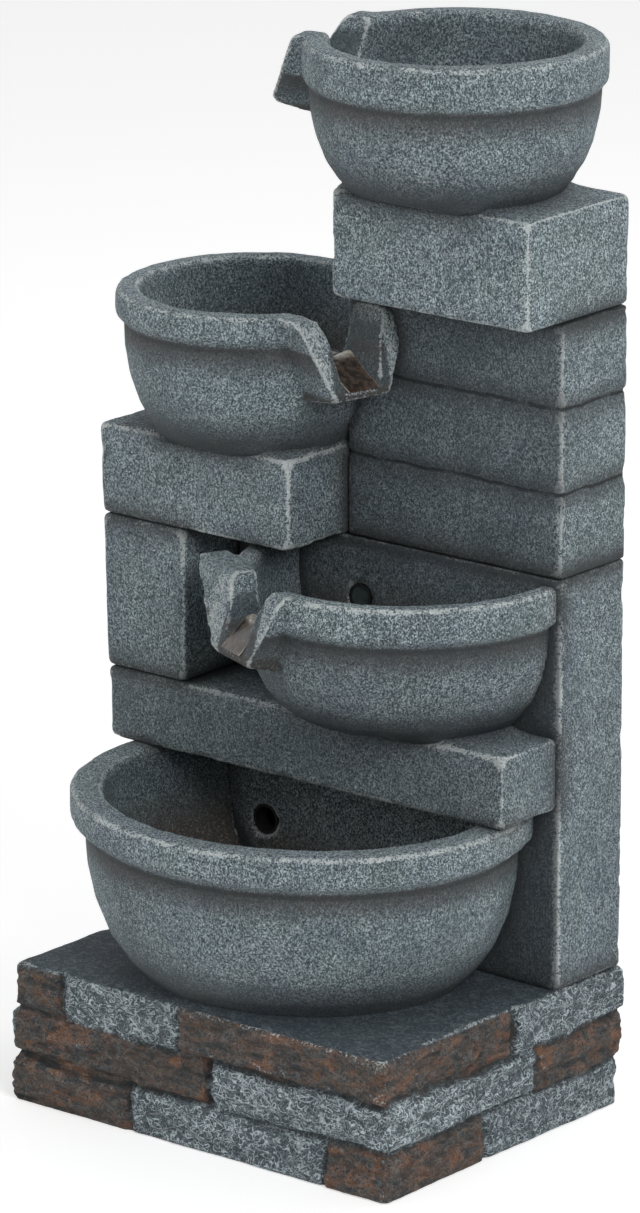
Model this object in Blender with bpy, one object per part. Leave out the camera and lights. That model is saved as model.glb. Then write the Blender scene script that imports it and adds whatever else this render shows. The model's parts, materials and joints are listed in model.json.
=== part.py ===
"""Cascading garden fountain: four bowls on a stepped, cast-resin tower over a stacked-stone plinth.

All sizes are in millimetres and turned into metres where a mesh is made. X runs to the right seen from
the front, Y to the back and Z up. Sizes count from the middle of the plinth's front face at floor level,
and the finished model is moved so that its origin is the middle of its footprint.
"""
import math
from dataclasses import dataclass

import bmesh
import bpy
from mathutils import Vector

MM = 0.001

# Clearances
GAP = 0.3
RUNNING_GAP = 0.4
CUT_OVER = 5.0

# Plinth
PLINTH_WIDTH = 377.0
PLINTH_DEPTH = 297.0
PLINTH_HEIGHT = 114.0
PLINTH_WALL = 16.0
PLINTH_DECK = 11.0
STONE_GROOVE = 5.0
STONE_GROOVE_WIDTH = 3.5
STONE_STEP = 1.6
STONE_EDGE = 3.0

# Where the joints between the stones lie, as shares of each side: front, right, back, left
STONE_COURSES = (
    ((0.32, 0.83), (0.43,), (0.28, 0.66), (0.55,)),
    ((0.53,), (0.63,), (0.46, 0.82), (0.36,)),
    ((0.14, 0.45), (0.54,), (0.34, 0.7), (0.62,)),
)

# Tower and blocks
SHELL = 9.0
BLOCK_EDGE = 4.0
CORNER = 4.0
TOWER_SETBACK = 3.0
PUMP_SIDE_ROOM = 7.7
TOWER_LEFT = -199.0
TOWER_RIGHT = 188.0
LEFT_LEAN = 2.0
BLOCK_REACH = 70.0
LEDGE_HEIGHT = 58.5
LEDGE_SETBACK = 0.5
COLUMN_HEIGHT = 123.5
COLUMN_WIDTH = 80.0
LEFT_BLOCK_HEIGHT = 73.0
UPPER_LEFT = -21.0
UPPER_HEIGHT = 200.5
UPPER_COURSES = 3
COURSE_GROOVE = 3.0
TOP_BLOCK_LEFT = -1.6
TOP_BLOCK_REACH = 43.0
TOP_BLOCK_HEIGHT = 86.0

# Bowls: each centre lies this far behind the tower's front face
BOWL_LIP = 5.0
TOP_BOWL_X = 75.5
TOP_BOWL_BEHIND = 12.0
TOP_BOWL_HEIGHT = 116.5
TOP_BOWL_RADIUS = 116.0
TOP_BOWL_COLLAR = 34.0
TOP_BOWL_STEP = 5.0
TOP_BOWL_RIM = 19.5
TOP_BOWL_FOOT = 69.0
TOP_BOWL_FLOOR = 12.0
TOP_BOWL_SIDES = 36
UPPER_BOWL_X = -103.0
UPPER_BOWL_BEHIND = -9.0
UPPER_BOWL_HEIGHT = 115.5
UPPER_BOWL_RADIUS = 109.5
UPPER_BOWL_COLLAR = 25.0
UPPER_BOWL_STEP = 6.5
UPPER_BOWL_RIM = 19.0
UPPER_BOWL_FOOT = 66.0
UPPER_BOWL_FLOOR = 12.0
UPPER_BOWL_SIDES = 36
LOWER_BOWL_X = 51.5
LOWER_BOWL_BEHIND = -7.0
LOWER_BOWL_HEIGHT = 118.5
LOWER_BOWL_RADIUS = 134.5
LOWER_BOWL_STRETCH = 1.07
LOWER_BOWL_COLLAR = 32.0
LOWER_BOWL_STEP = 6.5
LOWER_BOWL_RIM = 16.0
LOWER_BOWL_FOOT = 76.0
LOWER_BOWL_FLOOR = 10.0
LOWER_BOWL_SIDES = 40
BASIN_X = -1.3
BASIN_BEHIND = -77.5
BASIN_HEIGHT = 146.0
BASIN_RADIUS = 187.0
BASIN_STRETCH = 0.91
BASIN_COLLAR = 31.5
BASIN_STEP = 12.0
BASIN_RIM = 27.0
BASIN_FOOT = 114.0
BASIN_FLOOR = 10.0
BASIN_SIDES = 44

# Spouts
SPOUT_TOP_HALF = 31.0
SPOUT_FLOOR_HALF = 14.0
SPOUT_WALL = 9.0
SPOUT_FLOOR = 7.0
SPOUT_WING = 22.0
TOP_SPOUT_AZIMUTH = 190.0
TOP_SPOUT_DROP = 38.0
TOP_SPOUT_TIP = 60.0
TOP_SPOUT_REACH = 28.0
UPPER_SPOUT_AZIMUTH = -14.0
UPPER_SPOUT_DROP = 38.0
UPPER_SPOUT_TIP = 64.0
UPPER_SPOUT_REACH = 28.0
UPPER_SPOUT_CREST = 15.0
LOWER_SPOUT_AZIMUTH = 246.6
LOWER_SPOUT_DROP = 32.0
LOWER_SPOUT_TIP = 60.0
LOWER_SPOUT_REACH = 15.0
LOWER_SPOUT_WING = 62.0
STRIP_THICKNESS = 1.5
STRIP_LAP = 2.0

# Water return and pump well
RETURN_X = -104.0
RETURN_HEIGHT = 80.0
RETURN_RADIUS = 12.5
SLEEVE_WALL = 2.2
WELL_LEFT = -178.0
WELL_RIGHT = -28.0
WELL_HEIGHT = 122.0
WELL_WALL = 3.0

# Pump
PUMP_X = -62.0
PUMP_LENGTH = 42.0
PUMP_WIDTH = 44.0
PUMP_TALL = 44.0
PUMP_EDGE = 5.0
VOLUTE_LENGTH = 16.0
COVER_LENGTH = 20.0
COVER_WALL = 2.0
ROTOR_RADIUS = 9.0
VANE_RADIUS = 13.0
VANE_LENGTH = 8.0
VANES = 6
VANE_THICKNESS = 1.6
SHAFT_RADIUS = 1.5
DIAL_RADIUS = 7.0
DIAL_THICKNESS = 4.0
FOOT_RADIUS = 6.0
FOOT_HEIGHT = 7.0
NIPPLE_RADIUS = 6.0
NIPPLE_LENGTH = 22.0
PIPE_WALL = 2.0
GLAND_RADIUS = 5.0
GLAND_LENGTH = 9.0
CABLE_RADIUS = 3.0

# Riser
HOSE_WALL = 2.0
HOSE_SIDES = 10
CLAMP_WIDTH = 8.0
CLAMP_THICKNESS = 1.2
CLAMP_EAR = 6.0
TAIL_LENGTH = 22.0
NUT_ACROSS = 26.0
NUT_HEIGHT = 7.0
FLANGE_RADIUS = 15.0
FLANGE_THICKNESS = 3.0
WASHER_THICKNESS = 2.0

# Lamps
WALL_LAMP_X = -8.0
WALL_LAMP_DROP = 43.0
WALL_LAMP_RADIUS = 11.0
WALL_LAMP_LENGTH = 24.0
SPOUT_LAMP_RADIUS = 10.0
SPOUT_LAMP_SEAT = 5.0
SPOUT_LAMP_PROUD = 2.0
LENS_THICKNESS = 3.0
LAMP_RIM = 2.0

# Access door
DOOR_LEFT = -172.0
DOOR_WIDTH = 144.0
DOOR_SILL = 14.0
DOOR_HEIGHT = 150.0
DOOR_THICKNESS = 3.5
DOOR_REBATE = 12.0
GASKET_THICKNESS = 1.2
SCREW_HEAD_RADIUS = 4.0
SCREW_HEAD_HEIGHT = 2.4
SCREW_RADIUS = 1.9
SCREW_LENGTH = 12.0
GROMMET_X = 120.0
GROMMET_HEIGHT = 20.0
GROMMET_RADIUS = 8.0
GROMMET_FLANGE = 3.0

# Levels that follow from the sizes above
DECK_Z = PLINTH_HEIGHT + GAP
BASIN_RIM_Z = DECK_Z + BASIN_HEIGHT
LEDGE_Z = BASIN_RIM_Z + GAP
LEDGE_TOP = LEDGE_Z + LEDGE_HEIGHT
COLUMN_Z = LEDGE_TOP + GAP
COURSE_Z = COLUMN_Z + COLUMN_HEIGHT
LEFT_BLOCK_Z = COURSE_Z + GAP
LEFT_BLOCK_TOP = LEFT_BLOCK_Z + LEFT_BLOCK_HEIGHT
UPPER_TOP = COURSE_Z + GAP + UPPER_HEIGHT
TOP_BLOCK_Z = UPPER_TOP + GAP
TOP_BLOCK_TOP = TOP_BLOCK_Z + TOP_BLOCK_HEIGHT
TOWER_BACK = PLINTH_DEPTH - TOWER_SETBACK
TOWER_FRONT = TOWER_BACK - PUMP_WIDTH - 2 * (PUMP_SIDE_ROOM + WELL_WALL + SHELL + GAP)
BLOCK_FRONT = TOWER_FRONT - BLOCK_REACH
BLOCK_BACK = TOWER_FRONT - GAP
TOP_BLOCK_FRONT = TOWER_FRONT - TOP_BLOCK_REACH


@dataclass
class Spout:
    """A pouring beak: azimuth in degrees, drop of its floor and of its tip, reach, left wing's width,
    and how far the top of its wings stands out beyond the rim."""

    azimuth: float
    floor_drop: float
    tip_drop: float
    reach: float
    left_wing: float
    crest: float = 0.0


@dataclass
class Bowl:
    """A thin-walled bowl with a collar round its rim; foot and radius are half its width."""

    name: str
    x: float
    y: float
    foot_z: float
    height: float
    radius: float
    depth_ratio: float
    collar: float
    collar_step: float
    rim_width: float
    foot: float
    floor: float
    steps: int
    spout: Spout = None

    @property
    def rim_z(self):
        return self.foot_z + self.height


BOWL_TOP = Bowl("bowl_top", TOP_BOWL_X, TOWER_FRONT + TOP_BOWL_BEHIND, TOP_BLOCK_TOP + GAP,
                TOP_BOWL_HEIGHT, TOP_BOWL_RADIUS, 1.0, TOP_BOWL_COLLAR, TOP_BOWL_STEP, TOP_BOWL_RIM,
                TOP_BOWL_FOOT, TOP_BOWL_FLOOR, TOP_BOWL_SIDES,
                Spout(TOP_SPOUT_AZIMUTH, TOP_SPOUT_DROP, TOP_SPOUT_TIP, TOP_SPOUT_REACH, SPOUT_WING))
BOWL_UPPER = Bowl("bowl_upper", UPPER_BOWL_X, TOWER_FRONT + UPPER_BOWL_BEHIND, LEFT_BLOCK_TOP + GAP,
                  UPPER_BOWL_HEIGHT, UPPER_BOWL_RADIUS, 1.0, UPPER_BOWL_COLLAR, UPPER_BOWL_STEP,
                  UPPER_BOWL_RIM, UPPER_BOWL_FOOT, UPPER_BOWL_FLOOR, UPPER_BOWL_SIDES,
                  Spout(UPPER_SPOUT_AZIMUTH, UPPER_SPOUT_DROP, UPPER_SPOUT_TIP, UPPER_SPOUT_REACH,
                        SPOUT_WING, UPPER_SPOUT_CREST))
BOWL_LOWER = Bowl("bowl_lower", LOWER_BOWL_X, TOWER_FRONT + LOWER_BOWL_BEHIND, LEDGE_TOP + GAP,
                  LOWER_BOWL_HEIGHT, LOWER_BOWL_RADIUS, LOWER_BOWL_STRETCH, LOWER_BOWL_COLLAR,
                  LOWER_BOWL_STEP, LOWER_BOWL_RIM, LOWER_BOWL_FOOT, LOWER_BOWL_FLOOR, LOWER_BOWL_SIDES,
                  Spout(LOWER_SPOUT_AZIMUTH, LOWER_SPOUT_DROP, LOWER_SPOUT_TIP, LOWER_SPOUT_REACH,
                        LOWER_SPOUT_WING))
BASIN = Bowl("basin", BASIN_X, TOWER_FRONT + BASIN_BEHIND, DECK_Z, BASIN_HEIGHT, BASIN_RADIUS,
             BASIN_STRETCH, BASIN_COLLAR, BASIN_STEP, BASIN_RIM, BASIN_FOOT, BASIN_FLOOR, BASIN_SIDES)

RETURN_Z = DECK_Z + RETURN_HEIGHT
WELL_Z = DECK_Z
PUMP_Z = WELL_Z + WELL_WALL + GAP + FOOT_HEIGHT + GAP
PUMP_AXIS_Z = PUMP_Z + PUMP_TALL / 2
PUMP_Y = (TOWER_FRONT + TOWER_BACK) / 2
VOLUTE_X = PUMP_X - PUMP_LENGTH / 2 - GAP
COVER_X = VOLUTE_X - VOLUTE_LENGTH - GAP
OUTLET_X = VOLUTE_X - VOLUTE_LENGTH / 2
DOOR_Z = DECK_Z + WELL_HEIGHT + DOOR_SILL


# Meshes

def loft(rings, closed=False):
    """Skin rings of equally many points; the two ends are capped unless the rings close on themselves."""
    bm = bmesh.new()
    rows = [[bm.verts.new(Vector(p) * MM) for p in ring] for ring in rings]
    count = len(rows[0])
    pairs = list(zip(rows, rows[1:]))
    if closed:
        pairs.append((rows[-1], rows[0]))
    for low, high in pairs:
        for i in range(count):
            j = (i + 1) % count
            bm.faces.new((low[i], low[j], high[j], high[i]))
    if not closed:
        bm.faces.new(rows[0])
        bm.faces.new(rows[-1])
    bmesh.ops.recalc_face_normals(bm, faces=bm.faces)
    return bm


def rounded_rectangle(x0, x1, y0, y1, radius, z, steps=2):
    corners = ((x1 - radius, y1 - radius, 0), (x0 + radius, y1 - radius, 90),
               (x0 + radius, y0 + radius, 180), (x1 - radius, y0 + radius, 270))
    points = []
    for cx, cy, start in corners:
        for k in range(steps + 1):
            angle = math.radians(start + 90 * k / steps)
            points.append((cx + radius * math.cos(angle), cy + radius * math.sin(angle), z))
    return points


def block(left, right, front, back, low, high, edge=BLOCK_EDGE, grooves=(), corner=CORNER):
    """An upright block with eased edges; left may be a function of height, grooves run all round."""
    soft = edge * 0.3
    levels = [(low, edge), (low + soft, soft), (low + edge, 0.0)]
    for z in grooves:
        levels += [(z - COURSE_GROOVE, 0.0), (z, COURSE_GROOVE), (z + COURSE_GROOVE, 0.0)]
    levels += [(high - edge, 0.0), (high - soft, soft), (high, edge)]
    rings = []
    for z, inset in levels:
        x0 = left(z) if callable(left) else left
        rings.append(rounded_rectangle(x0 + inset, right - inset, front + inset, back - inset, corner, z))
    return loft(rings)


def box(x0, x1, y0, y1, z0, z1):
    """A plain box; x0 may be a function of height."""
    rings = []
    for z in (z0, z1):
        left = x0(z) if callable(x0) else x0
        rings.append([(left, y0, z), (x1, y0, z), (x1, y1, z), (left, y1, z)])
    return loft(rings)


def turned(profile, origin, axis="Z", steps=16, ring=False, stretch=1.0):
    """Turn (radius, distance along the axis) pairs; ring joins the profile's ends round a bore."""
    across, up, along = {"X": (Vector((0, 1, 0)), Vector((0, 0, 1)), Vector((1, 0, 0))),
                         "Y": (Vector((0, 0, 1)), Vector((1, 0, 0)), Vector((0, 1, 0))),
                         "Z": (Vector((1, 0, 0)), Vector((0, 1, 0)), Vector((0, 0, 1)))}[axis]
    rings = []
    for radius, distance in profile:
        row = []
        for i in range(steps):
            angle = math.tau * i / steps
            row.append(Vector(origin) + along * distance + across * radius * math.cos(angle)
                       + up * radius * math.sin(angle) * stretch)
        rings.append(row)
    return loft(rings, closed=ring)


def tube(origin, axis, bore, outside, start, end, steps=16):
    profile = ((bore, start), (outside, start), (outside, end), (bore, end))
    return turned(profile, origin, axis, steps, ring=True)


def rod(origin, axis, radius, start, end, steps=16, ease=0.0):
    profile = [(radius, start), (radius, end - ease)]
    if ease:
        profile += [(radius - 0.3 * ease, end - 0.3 * ease), (radius - ease, end)]
    return turned(profile, origin, axis, steps)


# Objects

def material(name, colour, roughness, metallic=0.0, alpha=1.0):
    mat = bpy.data.materials.new(name)
    mat.use_nodes = True
    shader = mat.node_tree.nodes["Principled BSDF"]
    shader.inputs["Base Color"].default_value = (*colour, 1.0)
    shader.inputs["Roughness"].default_value = roughness
    shader.inputs["Metallic"].default_value = metallic
    shader.inputs["Alpha"].default_value = alpha
    return mat


def add(name, bm, origin, look, smooth=True):
    """Make an object whose origin is at the given place; the mesh is given in the common frame."""
    place = Vector(origin) * MM
    bmesh.ops.translate(bm, verts=bm.verts, vec=-place)
    mesh = bpy.data.meshes.new(name)
    bm.to_mesh(mesh)
    bm.free()
    obj = bpy.data.objects.new(name, mesh)
    obj.location = place
    bpy.context.collection.objects.link(obj)
    obj.parent = ROOT
    if look is not None:
        mesh.materials.append(material(name, *look))
    if smooth:
        mesh.shade_smooth()
        mesh.set_sharp_from_angle(angle=math.radians(35))
    return obj


def guide(name, bm):
    """A shape that only cuts or adds to others."""
    obj = add(name, bm, (0, 0, 0), None, smooth=False)
    obj.hide_render = True
    obj.display_type = "WIRE"
    return obj


def change(obj, other, operation):
    step = obj.modifiers.new(other.name, "BOOLEAN")
    step.operation = operation
    step.solver = "EXACT"
    step.object = other


def cut(obj, bm, name):
    change(obj, guide(f"{obj.name}_{name}", bm), "DIFFERENCE")


def fuse(obj, bm, name):
    change(obj, guide(f"{obj.name}_{name}", bm), "UNION")


# Looks: colour, roughness, metallic, alpha
SLATE = ((0.09, 0.13, 0.15), 0.8)
STONE = ((0.12, 0.11, 0.1), 0.85)
CLEAR = ((0.55, 0.45, 0.38), 0.15, 0.0, 0.5)
BLACK_PLASTIC = ((0.02, 0.02, 0.022), 0.35)
DARK_PLASTIC = ((0.05, 0.055, 0.06), 0.5)
RUBBER = ((0.025, 0.025, 0.025), 0.75)
HOSE = ((0.5, 0.52, 0.5), 0.3)
LENS = ((0.75, 0.78, 0.78), 0.12)
CERAMIC = ((0.85, 0.84, 0.8), 0.3)
MAGNET = ((0.12, 0.12, 0.13), 0.5)
STEEL = ((0.6, 0.6, 0.6), 0.3, 1.0)
ORANGE = ((0.7, 0.2, 0.03), 0.4)


# Plinth

def perimeter_columns():
    """Stations round the plinth as (side, distance along it), with three at each joint of any course."""
    lengths = (PLINTH_WIDTH, PLINTH_DEPTH, PLINTH_WIDTH, PLINTH_DEPTH)
    columns = []
    for side, length in enumerate(lengths):
        stations = {0.0, length / 2}
        for course in STONE_COURSES:
            for share in course[side]:
                stations |= {share * length + k * STONE_GROOVE_WIDTH for k in (-1, 0, 1)}
        columns += [(side, s) for s in sorted(stations)]
    return columns, lengths


def stone_inset(course, side, distance, lengths):
    """How far the face of the stone there lies behind the plinth's outline."""
    joints = [share * lengths[side] for share in STONE_COURSES[course][side]]
    nearest = min(abs(distance - joint) for joint in joints)
    groove = STONE_GROOVE * max(0.0, 1.0 - nearest / STONE_GROOVE_WIDTH)
    number = sum(joint < distance for joint in joints)
    step = STONE_STEP * ((2 * course + side + number) % 3)
    return step + groove


def plinth_ring(columns, lengths, z, course, extra):
    """One closed ring of the plinth's outside at height z."""
    half = PLINTH_WIDTH / 2
    starts = ((-half, 0.0), (half, 0.0), (half, PLINTH_DEPTH), (-half, PLINTH_DEPTH))
    along = ((1, 0), (0, 1), (-1, 0), (0, -1))
    inward = ((0, 1), (-1, 0), (0, -1), (1, 0))
    ring = []
    for side, s in columns:
        depth = stone_inset(course, side, s, lengths) + extra
        x = starts[side][0] + along[side][0] * s + inward[side][0] * depth
        y = starts[side][1] + along[side][1] * s + inward[side][1] * depth
        if s == 0.0:
            before = (side - 1) % 4
            other = stone_inset(course, before, lengths[before], lengths) + extra
            x += inward[before][0] * other
            y += inward[before][1] * other
        ring.append((x, y, z))
    return ring


def make_plinth():
    columns, lengths = perimeter_columns()
    course_height = PLINTH_HEIGHT / len(STONE_COURSES)
    rings = []
    for course in range(len(STONE_COURSES)):
        low = course * course_height
        high = low + course_height
        if course == 0:
            rings.append(plinth_ring(columns, lengths, low, course, 0.0))
        else:
            rings.append(plinth_ring(columns, lengths, low + STONE_EDGE, course, 0.0))
        rings.append(plinth_ring(columns, lengths, high - STONE_EDGE, course, 0.0))
        last = course == len(STONE_COURSES) - 1
        rings.append(plinth_ring(columns, lengths, high, course, STONE_EDGE if last else STONE_GROOVE))
    plinth = add("plinth", loft(rings), (0, PLINTH_DEPTH / 2, 0), STONE, smooth=False)
    half = PLINTH_WIDTH / 2 - PLINTH_WALL
    inside = box(-half, half, PLINTH_WALL, PLINTH_DEPTH - PLINTH_WALL, -1.0, PLINTH_HEIGHT - PLINTH_DECK)
    cut(plinth, inside, "inside")


# Tower

def left_side(z):
    """The left side leans out a little as it rises, as the mould's draft."""
    return TOWER_LEFT - (z - PLINTH_HEIGHT) * math.tan(math.radians(LEFT_LEAN))


def left_inside(z):
    return left_side(z) + SHELL


def make_tower():
    middle = ((TOWER_LEFT + TOWER_RIGHT) / 2, (TOWER_FRONT + TOWER_BACK) / 2)
    lower = add("tower_lower", block(left_side, TOWER_RIGHT, TOWER_FRONT, TOWER_BACK, DECK_Z, COURSE_Z, 2.0),
                (*middle, DECK_Z), SLATE)
    inner_front = TOWER_FRONT + SHELL
    inner_back = TOWER_BACK - SHELL
    inner_right = TOWER_RIGHT - SHELL
    cut(lower, box(left_inside, inner_right, inner_front, inner_back, DECK_Z - CUT_OVER, COURSE_Z + CUT_OVER),
        "inside")
    hole_start = TOWER_FRONT - CUT_OVER
    hole_end = inner_front + CUT_OVER
    cut(lower, rod((RETURN_X, 0, RETURN_Z), "Y", RETURN_RADIUS, hole_start, hole_end, 24), "return")
    lamp_z = BOWL_LOWER.rim_z - WALL_LAMP_DROP
    cut(lower, rod((WALL_LAMP_X, 0, lamp_z), "Y", WALL_LAMP_RADIUS, hole_start, hole_end, 24), "lamp")
    right = DOOR_LEFT + DOOR_WIDTH
    top = DOOR_Z + DOOR_HEIGHT
    cut(lower, box(DOOR_LEFT, right, inner_back - CUT_OVER, TOWER_BACK + CUT_OVER, DOOR_Z, top), "doorway")
    sink = TOWER_BACK - DOOR_THICKNESS - GASKET_THICKNESS - 2 * GAP
    grow = DOOR_REBATE
    rebate = box(DOOR_LEFT - grow, right + grow, sink, TOWER_BACK + CUT_OVER, DOOR_Z - grow, top + grow)
    cut(lower, rebate, "rebate")
    for number, (x, z) in enumerate(door_screw_places(), 1):
        hole = rod((x, 0, z), "Y", SCREW_RADIUS + GAP, inner_back - CUT_OVER, TOWER_BACK + CUT_OVER, 12)
        cut(lower, hole, f"screw_{number}")
    grommet_z = DECK_Z + GROMMET_HEIGHT
    cord_hole = rod((GROMMET_X, 0, grommet_z), "Y", GROMMET_RADIUS, inner_back - CUT_OVER,
                    TOWER_BACK + CUT_OVER, 20)
    cut(lower, cord_hole, "cord_hole")

    low = COURSE_Z + GAP
    course = UPPER_HEIGHT / UPPER_COURSES
    grooves = [low + course * k for k in range(1, UPPER_COURSES)]
    upper = add("tower_upper",
                block(UPPER_LEFT, TOWER_RIGHT, TOWER_FRONT, TOWER_BACK, low, UPPER_TOP, 2.5, grooves),
                ((UPPER_LEFT + TOWER_RIGHT) / 2, middle[1], low), SLATE)
    hollow = box(UPPER_LEFT + SHELL, inner_right, inner_front, inner_back, low - CUT_OVER,
                 UPPER_TOP + CUT_OVER)
    cut(upper, hollow, "inside")


def door_screw_places():
    inset = DOOR_REBATE / 2
    for x in (DOOR_LEFT - inset, DOOR_LEFT + DOOR_WIDTH + inset):
        for z in (DOOR_Z - inset, DOOR_Z + DOOR_HEIGHT + inset):
            yield x, z


def make_blocks():
    """The blocks in front of and on the tower: hollow castings, open where they lie against it."""
    ledge_right = TOWER_RIGHT - LEDGE_SETBACK
    ledge = add("ledge_block", block(left_side, ledge_right, BLOCK_FRONT, BLOCK_BACK, LEDGE_Z, LEDGE_TOP),
                ((left_side(LEDGE_Z) + ledge_right) / 2, BLOCK_FRONT, LEDGE_Z), SLATE)
    cut(ledge, box(left_inside, ledge_right - SHELL, BLOCK_FRONT + SHELL, BLOCK_BACK + CUT_OVER,
                   LEDGE_Z + SHELL, LEDGE_TOP - SHELL), "inside")

    column_right = left_side(COLUMN_Z) + COLUMN_WIDTH
    column = add("left_column", block(left_side, column_right, BLOCK_FRONT, BLOCK_BACK, COLUMN_Z, COURSE_Z),
                 (column_right - COLUMN_WIDTH / 2, BLOCK_FRONT, COLUMN_Z), SLATE)
    cut(column, box(left_inside, column_right - SHELL, BLOCK_FRONT + SHELL, BLOCK_BACK + CUT_OVER,
                    COLUMN_Z + SHELL, COURSE_Z - SHELL), "inside")

    right = UPPER_LEFT - GAP
    left_block = add("left_block",
                     block(left_side, right, BLOCK_FRONT, TOWER_BACK, LEFT_BLOCK_Z, LEFT_BLOCK_TOP),
                     ((left_side(LEFT_BLOCK_Z) + right) / 2, BLOCK_FRONT, LEFT_BLOCK_Z), SLATE)
    cut(left_block, box(left_inside, right - SHELL, BLOCK_FRONT + SHELL, TOWER_BACK - SHELL,
                        LEFT_BLOCK_Z + SHELL, LEFT_BLOCK_TOP - SHELL), "inside")
    cut(left_block, box(left_inside, right - SHELL, TOWER_FRONT + SHELL, TOWER_BACK - SHELL,
                        LEFT_BLOCK_Z - CUT_OVER, LEFT_BLOCK_Z + 2 * SHELL), "underside")

    top_block = add("top_block",
                    block(TOP_BLOCK_LEFT, TOWER_RIGHT, TOP_BLOCK_FRONT, TOWER_BACK, TOP_BLOCK_Z,
                          TOP_BLOCK_TOP),
                    ((TOP_BLOCK_LEFT + TOWER_RIGHT) / 2, TOP_BLOCK_FRONT, TOP_BLOCK_Z), SLATE)
    cut(top_block, box(TOP_BLOCK_LEFT + SHELL, TOWER_RIGHT - SHELL, TOP_BLOCK_FRONT + SHELL,
                       TOWER_BACK - SHELL, TOP_BLOCK_Z + SHELL, TOP_BLOCK_TOP - SHELL), "inside")
    cut(top_block, box(TOP_BLOCK_LEFT + 2 * SHELL, TOWER_RIGHT - SHELL, TOWER_FRONT + SHELL,
                       TOWER_BACK - SHELL, TOP_BLOCK_Z - CUT_OVER, TOP_BLOCK_Z + 2 * SHELL), "underside")
    stem = rod((BOWL_TOP.x, BOWL_TOP.y, 0), "Z", NIPPLE_RADIUS + RUNNING_GAP, TOP_BLOCK_TOP - 2 * SHELL,
               TOP_BLOCK_TOP + CUT_OVER)
    cut(top_block, stem, "stem_hole")


# Bowls

def outer_profile(bowl):
    """Outside of a bowl from foot to rim: a quarter ellipse up to the collar, then the collar."""
    body = bowl.radius - bowl.collar_step
    collar_z = bowl.rim_z - bowl.collar
    turns = 6
    points = []
    for k in range(turns + 1):
        angle = math.radians(90.0 * (1 - k / turns))
        points.append((bowl.foot + (body - bowl.foot) * math.cos(angle),
                       collar_z - (collar_z - bowl.foot_z) * math.sin(angle)))
    points += [(bowl.radius - 1.5, collar_z + 0.5 * bowl.collar_step),
               (bowl.radius, collar_z + bowl.collar_step), (bowl.radius, bowl.rim_z - BOWL_LIP),
               (bowl.radius - 0.3 * BOWL_LIP, bowl.rim_z - 0.3 * BOWL_LIP),
               (bowl.radius - BOWL_LIP, bowl.rim_z)]
    return points


def inner_profile(bowl):
    """The hollow of a bowl, from its floor to above the rim."""
    inner = bowl.radius - bowl.rim_width
    floor_z = bowl.foot_z + bowl.floor
    floor_radius = bowl.foot - 0.5 * bowl.floor
    wall_top = bowl.rim_z - bowl.collar
    turns = 4
    points = []
    for k in range(turns + 1):
        angle = math.radians(90.0 * (1 - k / turns))
        points.append((floor_radius + (inner - floor_radius) * math.cos(angle),
                       wall_top - (wall_top - floor_z) * math.sin(angle)))
    ease = 0.6 * BOWL_LIP
    points += [(inner, bowl.rim_z - ease), (inner + ease, bowl.rim_z + 0.01),
               (inner + ease, bowl.rim_z + 2 * CUT_OVER)]
    return points


def rim_reach(bowl):
    """Distance from the bowl's axis to its rim along the spout."""
    angle = math.radians(bowl.spout.azimuth)
    across = math.cos(angle) / bowl.radius
    along = math.sin(angle) / (bowl.radius * bowl.depth_ratio)
    return 1.0 / math.hypot(across, along)


def spout_solid(bowl, side, left, right):
    """Extrude a (reach, height) outline to both sides of the spout by widths that depend on height."""
    angle = math.radians(bowl.spout.azimuth)
    out = Vector((math.cos(angle), math.sin(angle), 0.0))
    across = Vector((-out.y, out.x, 0.0))
    centre = Vector((bowl.x, bowl.y, bowl.rim_z))
    rings = []
    for sign, width in ((-1, left), (1, right)):
        rings.append([centre + out * reach + across * sign * width(height) + Vector((0, 0, height))
                      for reach, height in side])
    return loft(rings)


def channel_half(bowl):
    """Half width of the spout's channel at a height below the rim."""
    slope = (SPOUT_TOP_HALF - SPOUT_FLOOR_HALF) / bowl.spout.floor_drop

    def half(height):
        return SPOUT_TOP_HALF + slope * height * 0.9
    return half


def strip_path(bowl):
    """The channel's floor from inside the bowl, over its lip and down to the tip."""
    spout = bowl.spout
    rim = rim_reach(bowl)
    lip = rim - 6.0
    tip = rim + spout.reach
    fall = spout.tip_drop - SPOUT_FLOOR
    return [(rim - bowl.rim_width - 6.0, -spout.floor_drop), (lip, -spout.floor_drop), (tip, -fall)]


def add_spout(obj, bowl):
    """Two wings whose end faces slope out and close in from the rim down to the tip of the beak."""
    spout = bowl.spout
    rim = rim_reach(bowl)
    tip = rim + spout.reach
    inside = rim - bowl.rim_width - 12.0
    low = -spout.tip_drop
    crest = rim + spout.crest
    side = [(inside, 0.0), (crest - BOWL_LIP, 0.0), (crest, -BOWL_LIP), (tip, low + 5.0), (tip - 2.0, low),
            (rim - 12.0, low - SPOUT_FLOOR), (inside, low)]
    low_half = SPOUT_FLOOR_HALF + SPOUT_WALL

    def wing(width):
        top = SPOUT_TOP_HALF + width
        return lambda height: top + (top - low_half) * height / (spout.tip_drop + SPOUT_FLOOR)
    fuse(obj, spout_solid(bowl, side, wing(spout.left_wing), wing(SPOUT_WING)), "wings")


def open_spout(obj, bowl):
    start, lip, tip = strip_path(bowl)
    slope = (tip[1] - lip[1]) / (tip[0] - lip[0])
    far = (tip[0] + 20.0, tip[1] + 20.0 * slope)
    half = channel_half(bowl)
    floor_half = half(-bowl.spout.floor_drop)

    def width(height):
        return max(floor_half, half(height))
    level = [(start[0] - 20.0, 8.0), (start[0] - 20.0, start[1]), lip, (lip[0], 8.0)]
    fall = [(lip[0] - 0.5, 8.0), (lip[0] - 0.5, lip[1]), lip, far, (far[0], 8.0)]
    cut(obj, spout_solid(bowl, level, width, width), "level_channel")
    cut(obj, spout_solid(bowl, fall, width, width), "falling_channel")


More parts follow.
